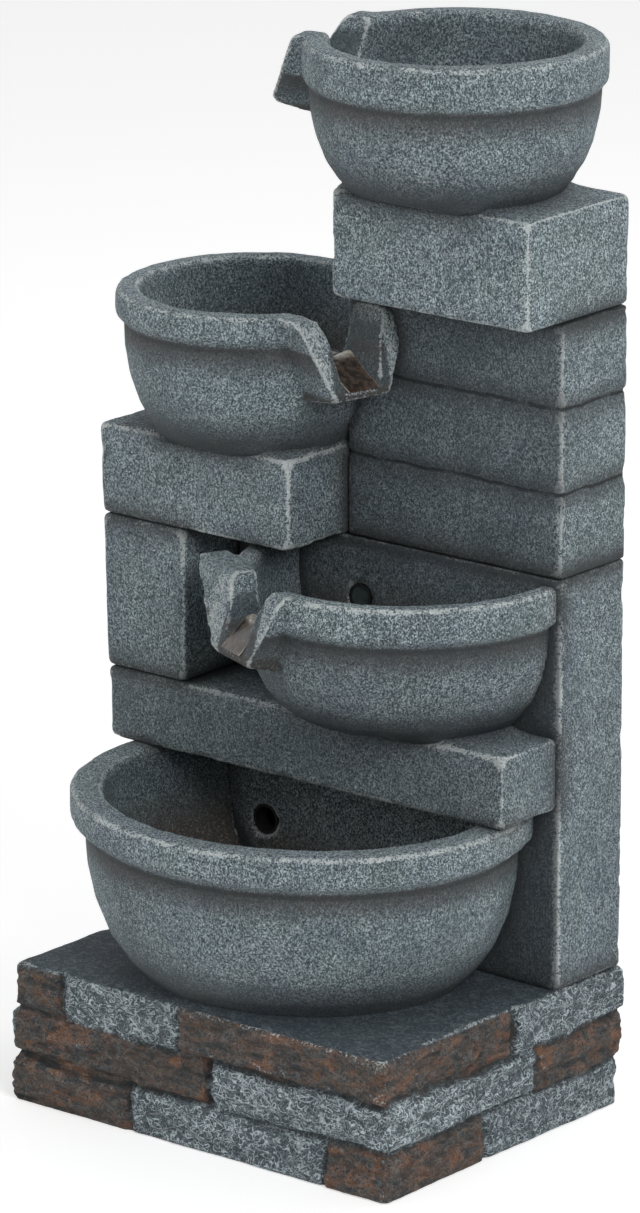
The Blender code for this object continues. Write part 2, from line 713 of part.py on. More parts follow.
def make_bowl(bowl):
    obj = add(bowl.name, turned(outer_profile(bowl), (bowl.x, bowl.y, 0), "Z", bowl.steps,
                                stretch=bowl.depth_ratio), (bowl.x, bowl.y, bowl.foot_z), SLATE)
    if bowl.spout:
        add_spout(obj, bowl)
    centre = (bowl.x, bowl.y, 0)
    hollow = turned(inner_profile(bowl), centre, "Z", bowl.steps, stretch=bowl.depth_ratio)
    cut(obj, hollow, "hollow")
    if bowl.spout:
        open_spout(obj, bowl)
    return obj


def make_bowls():
    top = make_bowl(BOWL_TOP)
    stem = rod((BOWL_TOP.x, BOWL_TOP.y, 0), "Z", NIPPLE_RADIUS + RUNNING_GAP, BOWL_TOP.foot_z - CUT_OVER,
               BOWL_TOP.foot_z + 2 * BOWL_TOP.floor)
    cut(top, stem, "stem_hole")
    upper = make_bowl(BOWL_UPPER)
    beyond = 2 * TOWER_BACK
    tower = box(UPPER_LEFT - GAP, TOWER_RIGHT, TOWER_FRONT - GAP, beyond, COURSE_Z, UPPER_TOP)
    cut(upper, tower, "tower_seat")
    x, y, seat_z = spout_lamp_place()
    seat = rod((x, y, 0), "Z", SPOUT_LAMP_RADIUS + GAP, seat_z, BOWL_UPPER.rim_z, 20)
    cut(upper, seat, "lamp_seat")
    for bowl in (BOWL_LOWER, BASIN):
        obj = make_bowl(bowl)
        wide = 2 * PLINTH_WIDTH
        behind = box(-wide, wide, TOWER_FRONT - GAP, TOWER_BACK + wide, 0.0, UPPER_TOP)
        cut(obj, behind, "wall_seat")
    for bowl in (BOWL_TOP, BOWL_UPPER, BOWL_LOWER):
        make_strip(bowl)


def spout_lamp_place():
    """Middle of the lamp's seat: in the channel floor of the upper bowl, just behind the strip's end."""
    spout = BOWL_UPPER.spout
    lip = strip_path(BOWL_UPPER)[1][0]
    reach = lip - STRIP_LAP - SPOUT_LAMP_RADIUS - GAP
    angle = math.radians(spout.azimuth)
    return (BOWL_UPPER.x + reach * math.cos(angle), BOWL_UPPER.y + reach * math.sin(angle),
            BOWL_UPPER.rim_z - spout.floor_drop - SPOUT_LAMP_SEAT)


def make_strip(bowl):
    """A clear strip that starts just behind the channel's lip, bends over it and lies on the floor."""
    lift = GAP * 1.5
    start, lip, tip = strip_path(bowl)
    start = (lip[0] - STRIP_LAP, start[1])
    low = [(start[0], start[1] + lift), (lip[0] + 0.5 * lift, lip[1] + lift), (tip[0] + lift, tip[1] + lift)]
    high = [(reach + 0.6 * STRIP_THICKNESS, height + STRIP_THICKNESS) for reach, height in reversed(low)]
    half = channel_half(bowl)(-bowl.spout.floor_drop) - 1.0
    bm = spout_solid(bowl, low + high, lambda height: half, lambda height: half)
    number = {"bowl_top": "top", "bowl_upper": "upper", "bowl_lower": "lower"}[bowl.name]
    add(f"spout_strip_{number}", bm, (bowl.x, bowl.y, bowl.rim_z), CLEAR, smooth=False)


# Water return, pump and riser

def make_well():
    front = TOWER_FRONT + SHELL + GAP
    back = TOWER_BACK - SHELL - GAP
    top = WELL_Z + WELL_HEIGHT
    well = add("pump_well", block(WELL_LEFT, WELL_RIGHT, front, back, WELL_Z, top, 0.8, corner=6.0),
               ((WELL_LEFT + WELL_RIGHT) / 2, PUMP_Y, WELL_Z), DARK_PLASTIC)
    cut(well, block(WELL_LEFT + WELL_WALL, WELL_RIGHT - WELL_WALL, front + WELL_WALL, back - WELL_WALL,
                    WELL_Z + WELL_WALL, top + 10, 0.5, corner=3.5), "inside")
    sleeve_end = front + WELL_WALL + 4.0
    cut(well, rod((RETURN_X, 0, RETURN_Z), "Y", RETURN_RADIUS, front - CUT_OVER, sleeve_end, 24), "return")
    add("return_sleeve", tube((RETURN_X, 0, RETURN_Z), "Y", RETURN_RADIUS - SLEEVE_WALL, RETURN_RADIUS - GAP,
                              TOWER_FRONT + 2.0, sleeve_end, 24), (RETURN_X, TOWER_FRONT, RETURN_Z), RUBBER)


def make_pump():
    y0 = PUMP_Y - PUMP_WIDTH / 2
    y1 = PUMP_Y + PUMP_WIDTH / 2
    z1 = PUMP_Z + PUMP_TALL
    axis = (0, PUMP_Y, PUMP_AXIS_Z)
    left = PUMP_X - PUMP_LENGTH / 2
    right = PUMP_X + PUMP_LENGTH / 2
    motor = add("pump_motor", block(left, right, y0, y1, PUMP_Z, z1, 2.0, corner=PUMP_EDGE),
                (PUMP_X, PUMP_Y, PUMP_Z), BLACK_PLASTIC)
    bore = ROTOR_RADIUS + RUNNING_GAP
    cut(motor, rod(axis, "X", bore, left - CUT_OVER, right - 8, 24), "rotor_bore")
    cut(motor, rod(axis, "X", SHAFT_RADIUS + GAP, right - 12, right - 4, 12), "shaft_socket")
    volute_left = VOLUTE_X - VOLUTE_LENGTH
    volute = add("pump_volute", block(volute_left, VOLUTE_X, y0 + 2, y1 - 2, PUMP_Z + 2, z1 - 2, 2.0,
                                      corner=PUMP_EDGE), (VOLUTE_X, PUMP_Y, PUMP_AXIS_Z), BLACK_PLASTIC)
    outlet = (OUTLET_X, PUMP_Y, 0)
    nipple_top = z1 + NIPPLE_LENGTH
    fuse(volute, rod(outlet, "Z", NIPPLE_RADIUS, PUMP_AXIS_Z, nipple_top, 16, 1.0), "nipple")
    chamber_left = VOLUTE_X - VANE_LENGTH - 3.0
    cut(volute, rod(axis, "X", VANE_RADIUS + 2.0, chamber_left, VOLUTE_X + CUT_OVER, 24), "chamber")
    cut(volute, rod(axis, "X", VANE_RADIUS * 0.55, volute_left - CUT_OVER, chamber_left + 1, 20), "inlet")
    cut(volute, rod(outlet, "Z", NIPPLE_RADIUS - PIPE_WALL, PUMP_AXIS_Z, nipple_top + CUT_OVER, 12), "outlet")
    shaft_end = right - 4.5
    add("pump_shaft", rod(axis, "X", SHAFT_RADIUS, chamber_left + 0.5, shaft_end, 12),
        (VOLUTE_X, PUMP_Y, PUMP_AXIS_Z), CERAMIC)
    make_rotor(axis, chamber_left + 1.0, right - 8.5)
    make_cover(axis)
    for number, (dx, dy) in enumerate(((-1, -1), (1, -1), (-1, 1), (1, 1)), 1):
        place = (PUMP_X + dx * (PUMP_LENGTH / 2 - FOOT_RADIUS - 2),
                 PUMP_Y + dy * (PUMP_WIDTH / 2 - FOOT_RADIUS - 2), PUMP_Z - GAP - FOOT_HEIGHT)
        cup = ((FOOT_RADIUS, 0.0), (FOOT_RADIUS * 0.6, 0.45 * FOOT_HEIGHT), (FOOT_RADIUS * 0.6, FOOT_HEIGHT))
        add(f"pump_foot_{number}", turned(cup, place, "Z", 12), place, RUBBER)
    gland_x = right + GAP
    add("pump_gland", tube((0, PUMP_Y, PUMP_AXIS_Z), "X", CABLE_RADIUS, GLAND_RADIUS, gland_x,
                           gland_x + GLAND_LENGTH, 16), (gland_x, PUMP_Y, PUMP_AXIS_Z), RUBBER)


def make_rotor(axis, start, end):
    """Magnet rotor with straight vanes, turning on the ceramic shaft."""
    bore = SHAFT_RADIUS + 0.35
    hub = VOLUTE_X - 1.0
    rotor = add("pump_rotor", turned(((bore, start), (ROTOR_RADIUS * 0.6, start), (ROTOR_RADIUS * 0.6, hub),
                                      (ROTOR_RADIUS, hub), (ROTOR_RADIUS, end), (bore, end)), axis, "X", 20,
                                     ring=True), (VOLUTE_X, PUMP_Y, PUMP_AXIS_Z), MAGNET)
    for k in range(VANES):
        angle = math.tau * k / VANES
        out = Vector((0, math.cos(angle), math.sin(angle)))
        side = Vector((0, -math.sin(angle), math.cos(angle)))
        rings = []
        for x in (start + 0.5, start + VANE_LENGTH):
            root = 0.45 * ROTOR_RADIUS
            thick = VANE_THICKNESS / 2
            corners = ((root, -thick), (VANE_RADIUS, -thick), (VANE_RADIUS, thick), (root, thick))
            rings.append([Vector((x, axis[1], axis[2])) + out * r + side * s for r, s in corners])
        fuse(rotor, loft(rings), f"vane_{k + 1}")


def make_cover(axis):
    """Slotted strainer in front of the inlet, with the flow dial on it."""
    y0 = PUMP_Y - PUMP_WIDTH / 2 + 2
    y1 = PUMP_Y + PUMP_WIDTH / 2 - 2
    z0 = PUMP_Z + 2
    z1 = PUMP_Z + PUMP_TALL - 2
    left = COVER_X - COVER_LENGTH
    cover = add("pump_cover", block(left, COVER_X, y0, y1, z0, z1, 1.5, corner=PUMP_EDGE),
                (COVER_X, PUMP_Y, PUMP_AXIS_Z), BLACK_PLASTIC)
    wall = COVER_WALL
    cut(cover, box(left + wall, COVER_X + CUT_OVER, y0 + wall, y1 - wall, z0 + wall, z1 - wall), "inside")
    slots = 3
    pitch = (PUMP_TALL - 4) / (2 * slots + 2)
    for side, inner in (("front", y0), ("back", y1)):
        for k in range(2 * slots):
            z = z0 + pitch * (k + 1.3)
            slot = box(left + 4, COVER_X - 4, inner - CUT_OVER, inner + CUT_OVER, z, z + 0.45 * pitch)
            cut(cover, slot, f"slot_{side}_{k}")
    stem = 2.5
    cut(cover, rod(axis, "X", stem + RUNNING_GAP, left - CUT_OVER, left + CUT_OVER, 16), "dial_hole")
    start = left - GAP - DIAL_THICKNESS
    profile = ((DIAL_RADIUS - 1, start), (DIAL_RADIUS, start + 1), (DIAL_RADIUS, left - GAP),
               (stem, left - GAP), (stem, left + wall + 2))
    dial = add("pump_dial", turned(profile, axis, "X", 20), (left, PUMP_Y, PUMP_AXIS_Z), ORANGE)
    grip = box(start - 3.0, start + 1.0, PUMP_Y - 1.2, PUMP_Y + 1.2, PUMP_AXIS_Z - DIAL_RADIUS * 0.7,
               PUMP_AXIS_Z + DIAL_RADIUS * 0.7)
    fuse(dial, grip, "grip")


def smooth_route(points, per_span):
    """Catmull-Rom curve through the given points."""
    ends = [points[0] * 2 - points[1]] + list(points) + [points[-1] * 2 - points[-2]]
    curve = []
    for a, b, c, d in zip(ends, ends[1:], ends[2:], ends[3:]):
        for k in range(per_span):
            t = k / per_span
            curve.append(0.5 * ((2 * b) + (c - a) * t + (2 * a - 5 * b + 4 * c - d) * t * t
                                + (3 * b - a - 3 * c + d) * t ** 3))
    curve.append(points[-1])
    return curve


def hose_mesh(route, bore, outside):
    """Sweep a round wall along the route, keeping its sides from twisting."""
    rings_out = []
    rings_in = []
    side = Vector((0, 1, 0))
    for i, point in enumerate(route):
        ahead = route[min(i + 1, len(route) - 1)] - route[max(i - 1, 0)]
        ahead.normalize()
        side = (side - ahead * side.dot(ahead)).normalized()
        other = ahead.cross(side)
        for ring, radius in ((rings_out, outside), (rings_in, bore)):
            ring.append([point + (side * math.cos(math.tau * k / HOSE_SIDES)
                                  + other * math.sin(math.tau * k / HOSE_SIDES)) * radius
                         for k in range(HOSE_SIDES)])
    return loft(rings_out + rings_in[::-1], closed=True)


def make_riser():
    bore = NIPPLE_RADIUS + 0.5
    outside = bore + HOSE_WALL
    low = Vector((OUTLET_X, PUMP_Y, PUMP_Z + PUMP_TALL + 1.0))
    tail = TOP_BLOCK_TOP - SHELL - GAP - NUT_HEIGHT - TAIL_LENGTH
    high = Vector((BOWL_TOP.x, BOWL_TOP.y, tail + TAIL_LENGTH - 2.0))
    behind = TOWER_BACK - SHELL - 2.4 * outside
    up = Vector((0, 0, NIPPLE_LENGTH))
    rise = high.z - low.z
    across = high.x - low.x

    def between(share_x, y, share_z):
        return Vector((low.x + share_x * across, y, low.z + share_z * rise))
    route = [low, low + up, low + 1.8 * up, between(0.08, (PUMP_Y + behind) / 2, 0.18),
             between(0.5, behind, 0.32), between(0.91, behind, 0.54), between(1.0, behind, 0.8),
             between(1.0, (high.y + behind) / 2, 0.89), high - 1.5 * up, high - up, high]
    add("riser_hose", hose_mesh(smooth_route(route, 4), bore, outside), low, HOSE)
    clamp = outside + GAP
    inset = Vector((0, 0, CLAMP_WIDTH / 2 + 1.0))
    for name, centre in (("clamp_low", low + inset), ("clamp_high", high - inset)):
        ring = add(name, tube(centre, "Z", clamp, clamp + CLAMP_THICKNESS, -CLAMP_WIDTH / 2, CLAMP_WIDTH / 2),
                   centre, STEEL)
        for sign in (-1, 1):
            mid = centre.y + sign * CLAMP_EAR / 2
            ear = box(centre.x + clamp, centre.x + clamp + CLAMP_EAR, mid - 0.8, mid + 0.8,
                      centre.z - CLAMP_WIDTH / 4, centre.z + CLAMP_WIDTH / 4)
            fuse(ring, ear, f"ear_{sign}")
    make_top_fitting(tail)


def make_top_fitting(tail):
    """Threaded outlet through the top bowl and its block, clamped by a nut from below."""
    centre = (BOWL_TOP.x, BOWL_TOP.y, 0)
    floor_z = BOWL_TOP.foot_z + BOWL_TOP.floor
    flange_z = floor_z + GAP + WASHER_THICKNESS + GAP
    stem = NIPPLE_RADIUS
    bore = stem - PIPE_WALL
    top = flange_z + FLANGE_THICKNESS
    profile = ((bore, tail), (stem, tail), (stem, flange_z), (FLANGE_RADIUS, flange_z),
               (FLANGE_RADIUS, top - 1),
               (FLANGE_RADIUS - 1, top), (stem + 1.5, top), (stem + 1, top + 5), (bore, top + 5))
    add("top_fitting", turned(profile, centre, "Z", 20, ring=True), (*centre[:2], flange_z), BLACK_PLASTIC)
    hole = stem + GAP
    washer_z = floor_z + GAP
    washer = tube(centre, "Z", hole, FLANGE_RADIUS - 1.5, washer_z, washer_z + WASHER_THICKNESS, 20)
    add("top_washer", washer, (*centre[:2], floor_z), RUBBER)
    nut_top = TOP_BLOCK_TOP - SHELL - GAP
    nut = add("top_nut", rod(centre, "Z", NUT_ACROSS / 2, nut_top - NUT_HEIGHT, nut_top, 6),
              (*centre[:2], nut_top), BLACK_PLASTIC, smooth=False)
    thread = rod(centre, "Z", hole, nut_top - NUT_HEIGHT - CUT_OVER, nut_top + CUT_OVER, 20)
    cut(nut, thread, "thread_hole")


# Lamps

def make_lamps():
    lamp_z = BOWL_LOWER.rim_z - WALL_LAMP_DROP
    centre = (WALL_LAMP_X, 0, lamp_z)
    outside = WALL_LAMP_RADIUS - GAP
    front = TOWER_FRONT + 1.5
    back = front + WALL_LAMP_LENGTH
    bore = outside - LAMP_RIM
    cup = ((bore, front + LENS_THICKNESS), (bore, front), (outside, front), (outside, back),
           (2.0, back), (2.0, back - 6.0), (bore, back - 6.0))
    place = (WALL_LAMP_X, front, lamp_z)
    add("lamp_lower_case", turned(cup, centre, "Y", 20, ring=True), place, BLACK_PLASTIC)
    lens_front = front + 0.5
    lens = rod(centre, "Y", bore - GAP, lens_front, lens_front + LENS_THICKNESS, 20)
    add("lamp_lower_lens", lens, place, LENS)

    x, y, floor_z = spout_lamp_place()
    floor_z += GAP
    radius = SPOUT_LAMP_RADIUS
    top = floor_z + SPOUT_LAMP_SEAT + SPOUT_LAMP_PROUD
    shelf = top - LENS_THICKNESS - GAP
    bore = radius - LAMP_RIM
    cup = ((bore, shelf), (bore, top), (radius - 0.8, top), (radius, top - 1.0), (radius, floor_z),
           (3.0, floor_z), (3.0, shelf))
    add("lamp_upper_case", turned(cup, (x, y, 0), "Z", 20, ring=True), (x, y, floor_z), BLACK_PLASTIC)
    lens = rod((x, y, 0), "Z", bore - GAP, shelf + GAP, top - 0.5, 20)
    add("lamp_upper_lens", lens, (x, y, shelf), LENS)


# Back

def make_door():
    """Rear access door in its rebate, on a soft gasket, with a screw at each corner."""
    grow = DOOR_REBATE - 0.6
    left = DOOR_LEFT - grow
    right = DOOR_LEFT + DOOR_WIDTH + grow
    low = DOOR_Z - grow
    high = DOOR_Z + DOOR_HEIGHT + grow
    shelf = TOWER_BACK - DOOR_THICKNESS - GASKET_THICKNESS - 2 * GAP
    gasket_front = shelf + GAP
    gasket = add("door_gasket", box(left, right, gasket_front, gasket_front + GASKET_THICKNESS, low, high),
                 (left, gasket_front, low), RUBBER, smooth=False)
    rim = DOOR_REBATE - 1.0
    window = box(left + rim, right - rim, gasket_front - CUT_OVER, gasket_front + 2 * CUT_OVER,
                 low + rim, high - rim)
    cut(gasket, window, "window")
    front = gasket_front + GASKET_THICKNESS + GAP
    back = front + DOOR_THICKNESS
    door = add("access_door", box(left, right, front, back, low, high), (left, front, low), DARK_PLASTIC,
               smooth=False)
    pull = 10.0
    middle = (left + right) / 2
    handle = box(middle - 3 * pull, middle + 3 * pull, back - 1.0, back + 4.0,
                 high - 3 * pull, high - 2.6 * pull)
    fuse(door, handle, "pull")
    for number, (x, z) in enumerate(door_screw_places(), 1):
        for obj in (door, gasket):
            hole = rod((x, 0, z), "Y", SCREW_RADIUS + GAP, shelf - CUT_OVER, back + CUT_OVER, 12)
            cut(obj, hole, f"hole_{number}")
        head = back + GAP
        profile = ((SCREW_RADIUS, head - SCREW_LENGTH), (SCREW_RADIUS, head), (SCREW_HEAD_RADIUS, head),
                   (SCREW_HEAD_RADIUS * 0.85, head + 0.6 * SCREW_HEAD_HEIGHT), (SCREW_HEAD_RADIUS * 0.5,
                                                                                 head + SCREW_HEAD_HEIGHT))
        add(f"door_screw_{number}", turned(profile, (x, 0, z), "Y", 12), (x, head, z), STEEL)

    wall_in = TOWER_BACK - SHELL
    z = DECK_Z + GROMMET_HEIGHT
    neck = GROMMET_RADIUS - GAP
    flange = GROMMET_RADIUS + GROMMET_FLANGE
    profile = ((CABLE_RADIUS, wall_in - 2.5), (flange, wall_in - 2.5), (flange, wall_in - GAP),
               (neck, wall_in - GAP),
               (neck, TOWER_BACK + GAP), (flange, TOWER_BACK + GAP), (flange - 1, TOWER_BACK + 2.5),
               (CABLE_RADIUS, TOWER_BACK + 2.5))
    grommet = turned(profile, (GROMMET_X, 0, z), "Y", 20, ring=True)
    add("cord_grommet", grommet, (GROMMET_X, TOWER_BACK, z), RUBBER)


def centre_on_footprint():
    """Move the whole model so that its origin is the middle of its footprint, on the floor."""
    bpy.context.view_layer.update()
    graph = bpy.context.evaluated_depsgraph_get()
    low = Vector((1e9, 1e9, 1e9))
    high = -low
    for obj in bpy.data.objects:
        if obj.type != "MESH" or obj.hide_render:
            continue
        solid = obj.evaluated_get(graph)
        for vertex in solid.to_mesh().vertices:
            point = obj.matrix_world @ vertex.co
            low = Vector(map(min, low, point))
            high = Vector(map(max, high, point))
        solid.to_mesh_clear()
    ROOT.location = (-(low.x + high.x) / 2, -(low.y + high.y) / 2, -low.z)
    bpy.context.view_layer.update()
    moved = [round(v / MM, 3) for v in ROOT.location]
    print("moved by", moved, "mm, size", [round(v / MM, 1) for v in high - low])


for old in list(bpy.data.objects):
    bpy.data.objects.remove(old, do_unlink=True)
ROOT = bpy.data.objects.new("fountain_frame", None)
bpy.context.collection.objects.link(ROOT)
make_plinth()
make_tower()
make_blocks()
make_bowls()
make_well()
make_pump()
make_riser()
make_lamps()
make_door()
centre_on_footprint()
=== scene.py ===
"""Cascading waterfall fountain: the looks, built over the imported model."""
import json
import math
from typing import NamedTuple

import bmesh
import bpy
import numpy as np
from mathutils import Matrix, Vector
from mathutils.bvhtree import BVHTree

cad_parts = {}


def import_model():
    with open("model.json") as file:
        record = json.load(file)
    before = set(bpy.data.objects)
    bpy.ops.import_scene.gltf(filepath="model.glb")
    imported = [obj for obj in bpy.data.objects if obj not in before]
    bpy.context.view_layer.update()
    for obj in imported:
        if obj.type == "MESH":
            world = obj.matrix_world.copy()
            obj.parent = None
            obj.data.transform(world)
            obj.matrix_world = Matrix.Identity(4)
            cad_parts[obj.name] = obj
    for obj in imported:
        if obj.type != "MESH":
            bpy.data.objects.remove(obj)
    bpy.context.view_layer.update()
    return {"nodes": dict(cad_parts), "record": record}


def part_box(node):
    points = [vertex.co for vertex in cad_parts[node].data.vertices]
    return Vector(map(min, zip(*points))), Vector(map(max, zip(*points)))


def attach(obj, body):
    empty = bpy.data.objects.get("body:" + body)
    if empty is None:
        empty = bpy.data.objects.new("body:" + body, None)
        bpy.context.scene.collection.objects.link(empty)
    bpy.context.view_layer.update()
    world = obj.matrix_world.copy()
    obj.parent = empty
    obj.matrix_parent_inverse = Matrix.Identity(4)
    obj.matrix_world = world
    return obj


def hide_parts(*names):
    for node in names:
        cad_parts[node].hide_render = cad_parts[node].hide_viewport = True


MM = 0.001
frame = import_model()
NODES = frame["nodes"]
BODY = {node: body for body, nodes in frame["record"]["behaviour"]["bodies"].items() for node in nodes}

# All lengths below are millimetres in the drawing's own frame: x from the plinth's middle, y from its front, z up.
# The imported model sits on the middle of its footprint, so the shift between both is read from one known corner.
CORNER = Vector((-21.0, 210.0, 443.2))
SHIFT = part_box("tower_upper")[0] / MM - CORNER


def world(x, y, z):
    """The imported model's metres of a place in the drawing."""
    return (Vector((x, y, z)) + SHIFT) * MM


def local(co):
    """The drawing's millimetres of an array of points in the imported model."""
    return co / MM - np.array(SHIFT)


# Camera, solved from the photograph's straight edges and rim ellipses

CAMERA_PLACE = (3578.2, -4239.0, 2056.0)
CAMERA_RIGHT = Vector((0.77524, 0.63167, 0.00005))
CAMERA_UP = Vector((-0.17709, 0.21725, 0.95992))
FOCAL_PIXELS = 7677.7
PHOTO_HEIGHT_PIXELS = 1213
SENSOR = 36.0


def photo_camera():
    camera = bpy.data.objects.new("camera", bpy.data.cameras.new("camera"))
    bpy.context.scene.collection.objects.link(camera)
    bpy.context.scene.camera = camera
    turn = Matrix((CAMERA_RIGHT, CAMERA_UP, CAMERA_RIGHT.cross(CAMERA_UP))).transposed().to_4x4()
    camera.matrix_world = Matrix.Translation(world(*CAMERA_PLACE)) @ turn
    camera.data.sensor_width = SENSOR
    camera.data.lens = FOCAL_PIXELS * SENSOR / PHOTO_HEIGHT_PIXELS
    camera.data.clip_start = 0.1
    camera.data.clip_end = 60.0


photo_camera()


# Mesh helpers

def obj_from(mesh, name):
    obj = bpy.data.objects.new(name, mesh)
    bpy.context.scene.collection.objects.link(obj)
    return obj


def remeshed(node, voxel):
    """A CAD node's solid with an even grid of faces, voxel millimetres apart."""
    bm = bmesh.new()
    bm.from_mesh(NODES[node].data)
    mesh = bpy.data.meshes.new(node)
    bm.to_mesh(mesh)
    bm.free()
    obj = obj_from(mesh, node)
    grid = obj.modifiers.new("grid", "REMESH")
    grid.mode = "VOXEL"
    grid.voxel_size = voxel * MM
    grid.use_smooth_shade = True
    graph = bpy.context.evaluated_depsgraph_get()
    made = bpy.data.meshes.new_from_object(obj.evaluated_get(graph))
    bpy.data.objects.remove(obj)
    return made


def coords(mesh):
    co = np.empty(len(mesh.vertices) * 3)
    mesh.vertices.foreach_get("co", co)
    return co.reshape(-1, 3)


def move_to(mesh, co):
    """Put a mesh's points at new places."""
    mesh.vertices.foreach_set("co", co.ravel())
    mesh.update()


def normals(mesh):
    no = np.empty(len(mesh.vertices) * 3)
    mesh.vertices.foreach_get("normal", no)
    return no.reshape(-1, 3)


def edge_pairs(mesh):
    pairs = np.empty(len(mesh.edges) * 2, np.int32)
    mesh.edges.foreach_get("vertices", pairs)
    return pairs.reshape(-1, 2)


OWN_SHARE = 0.3             # what a vertex keeps of its own value in a round of averaging


def averaged(values, pairs, rounds):
    """Each vertex's value drawn towards its neighbours' mean, several times."""
    count = len(values)
    a, b = pairs[:, 0], pairs[:, 1]
    degree = np.maximum(np.bincount(a, minlength=count) + np.bincount(b, minlength=count), 1)
    out = values.copy()
    for _ in range(rounds):
        columns = out.reshape(count, -1)
        total = np.stack([np.bincount(a, weights=c[b], minlength=count) + np.bincount(b, weights=c[a], minlength=count)
                          for c in columns.T], axis=1) / degree[:, None]
        out = (OWN_SHARE * columns + (1 - OWN_SHARE) * total).reshape(values.shape)
    return out


def lattice(seed, cells):
    """A repeatable random value for each whole cell of a grid."""
    x, y, z = (cells[:, k].astype(np.int64) for k in range(3))
    h = (x * 374761393 + y * 668265263 + z * 2147483647 + seed * 144269504) & 0xFFFFFFFF
    h = ((h ^ (h >> 13)) * 1274126177) & 0xFFFFFFFF
    h = ((h ^ (h >> 16)) * 2246822519) & 0xFFFFFFFF
    return ((h ^ (h >> 15)) & 0xFFFFFF) / 0xFFFFFF * 2 - 1


def rough(co, size, seed=0, octaves=3, gain=0.5, squeeze=(1, 1, 1)):
    """Smooth value noise, about -1 to 1, whose largest lumps are size millimetres."""
    point = co / (size * MM) * np.array(squeeze)
    total = np.zeros(len(co))
    weight, norm = 1.0, 0.0
    for octave in range(octaves):
        base = np.floor(point)
        part = point - base
        part = part * part * (3 - 2 * part)
        value = np.zeros(len(co))
        for corner in range(8):
            step = np.array([(corner >> k) & 1 for k in range(3)])
            share = np.prod(np.where(step, part, 1 - part), axis=1)
            value += share * lattice(seed + octave * 17, base + step)
        total += weight * value
        norm += weight
        weight *= gain
        point = point * 2.03 + 11.3
    return total / norm


def ramp(values, low, high):
    """A smooth step from 0 at low to 1 at high, which falls where low is above high."""
    t = np.clip((values - low) / (high - low), 0, 1)
    return t * t * (3 - 2 * t)


def paint(mesh, **channels):
    """Amounts of paint per vertex, which the materials read by name."""
    for name, values in channels.items():
        layer = mesh.attributes.new(name, "FLOAT", "POINT")
        layer.data.foreach_set("value", np.asarray(values, np.float32))


def finished(mesh, name, look):
    """A smooth-shaded object of one material from a mesh that has its final shape."""
    mesh.materials.clear()
    mesh.materials.append(look)
    for face in mesh.polygons:
        face.use_smooth = True
    return obj_from(mesh, name)


# Node graphs

class Look:
    """A small builder for one material's nodes."""

    def __init__(self, name, roughness):
        self.mat = bpy.data.materials.new(name)
        self.mat.use_nodes = True
        self.tree = self.mat.node_tree
        self.tree.nodes.clear()
        self.shader = self.node("ShaderNodeBsdfPrincipled")
        self.shader.inputs["Roughness"].default_value = roughness
        out = self.node("ShaderNodeOutputMaterial")
        self.tree.links.new(self.shader.outputs[0], out.inputs[0])
        self.place = self.node("ShaderNodeTexCoord").outputs["Object"]

    def node(self, kind):
        return self.tree.nodes.new(kind)

    def feed(self, socket, value):
        """Link a socket to a node's output, or set it to a constant."""
        if isinstance(value, bpy.types.NodeSocket):
            self.tree.links.new(value, socket)
        else:
            socket.default_value = value

    def math(self, operation, a, b=0.0):
        made = self.node("ShaderNodeMath")
        made.operation = operation
        self.feed(made.inputs[0], a)
        self.feed(made.inputs[1], b)
        return made.outputs[0]

    def stretch(self, scale):
        """Places for a noise that is squeezed along the axes whose scale is above 1."""
        made = self.node("ShaderNodeMapping")
        made.inputs["Scale"].default_value = scale
        self.tree.links.new(self.place, made.inputs["Vector"])
        return made.outputs[0]

    def noise(self, size, detail=2.0, distortion=0.0, place=None, rough=0.5):
        """Noise whose lumps are about size millimetres."""
        made = self.node("ShaderNodeTexNoise")
        self.feed(made.inputs["Vector"], place or self.place)
        made.inputs["Scale"].default_value = 1.0 / (size * MM)
        made.inputs["Detail"].default_value = detail
        made.inputs["Distortion"].default_value = distortion
        made.inputs["Roughness"].default_value = rough
        return made.outputs["Fac"]

    def ramp(self, value, low, high, to_low=0.0, to_high=1.0):
        """A smooth step from to_low, where the value is low, to to_high, where it is high."""
        made = self.node("ShaderNodeMapRange")
        made.interpolation_type = "SMOOTHSTEP"
        for socket, number in zip(made.inputs, (value, low, high, to_low, to_high)):
            self.feed(socket, number)
        return made.outputs[0]

    def mix(self, factor, a, b):
        made = self.node("ShaderNodeMix")
        made.data_type = "RGBA"
        for name, value in (("Factor", factor), ("A", a), ("B", b)):
            sockets = [s for s in made.inputs if s.name == name and (s.type == "RGBA") == (name != "Factor")]
            self.feed(sockets[0], value)
        return next(s for s in made.outputs if s.type == "RGBA")

    def attribute(self, name):
        """An amount of paint that the mesh carries."""
        made = self.node("ShaderNodeAttribute")
        made.attribute_name = name
        return made.outputs["Fac"]

    def product(self, first, *others):
        """The product of two or more values."""
        for other in others:
            first = self.math("MULTIPLY", first, other)
        return first

    def contour(self, value, thin, wide, strength=1.0):
        """Thin winding lines where a noise crosses its middle."""
        return self.ramp(self.math("ABSOLUTE", self.math("SUBTRACT", value, 0.5)), thin, wide, strength, 0.0)

    def bump(self, height, depth):
        """Bump whose full height is depth millimetres."""
        made = self.node("ShaderNodeBump")
        made.inputs["Strength"].default_value = 1.0
        made.inputs["Distance"].default_value = depth * MM
        self.feed(made.inputs["Height"], height)
        return made.outputs[0]

    def finish(self, colour, rough=None, normal=None):
        self.feed(self.shader.inputs["Base Color"], colour)
        if rough is not None:
            self.feed(self.shader.inputs["Roughness"], rough)
        if normal is not None:
            self.feed(self.shader.inputs["Normal"], normal)
        return self.mat


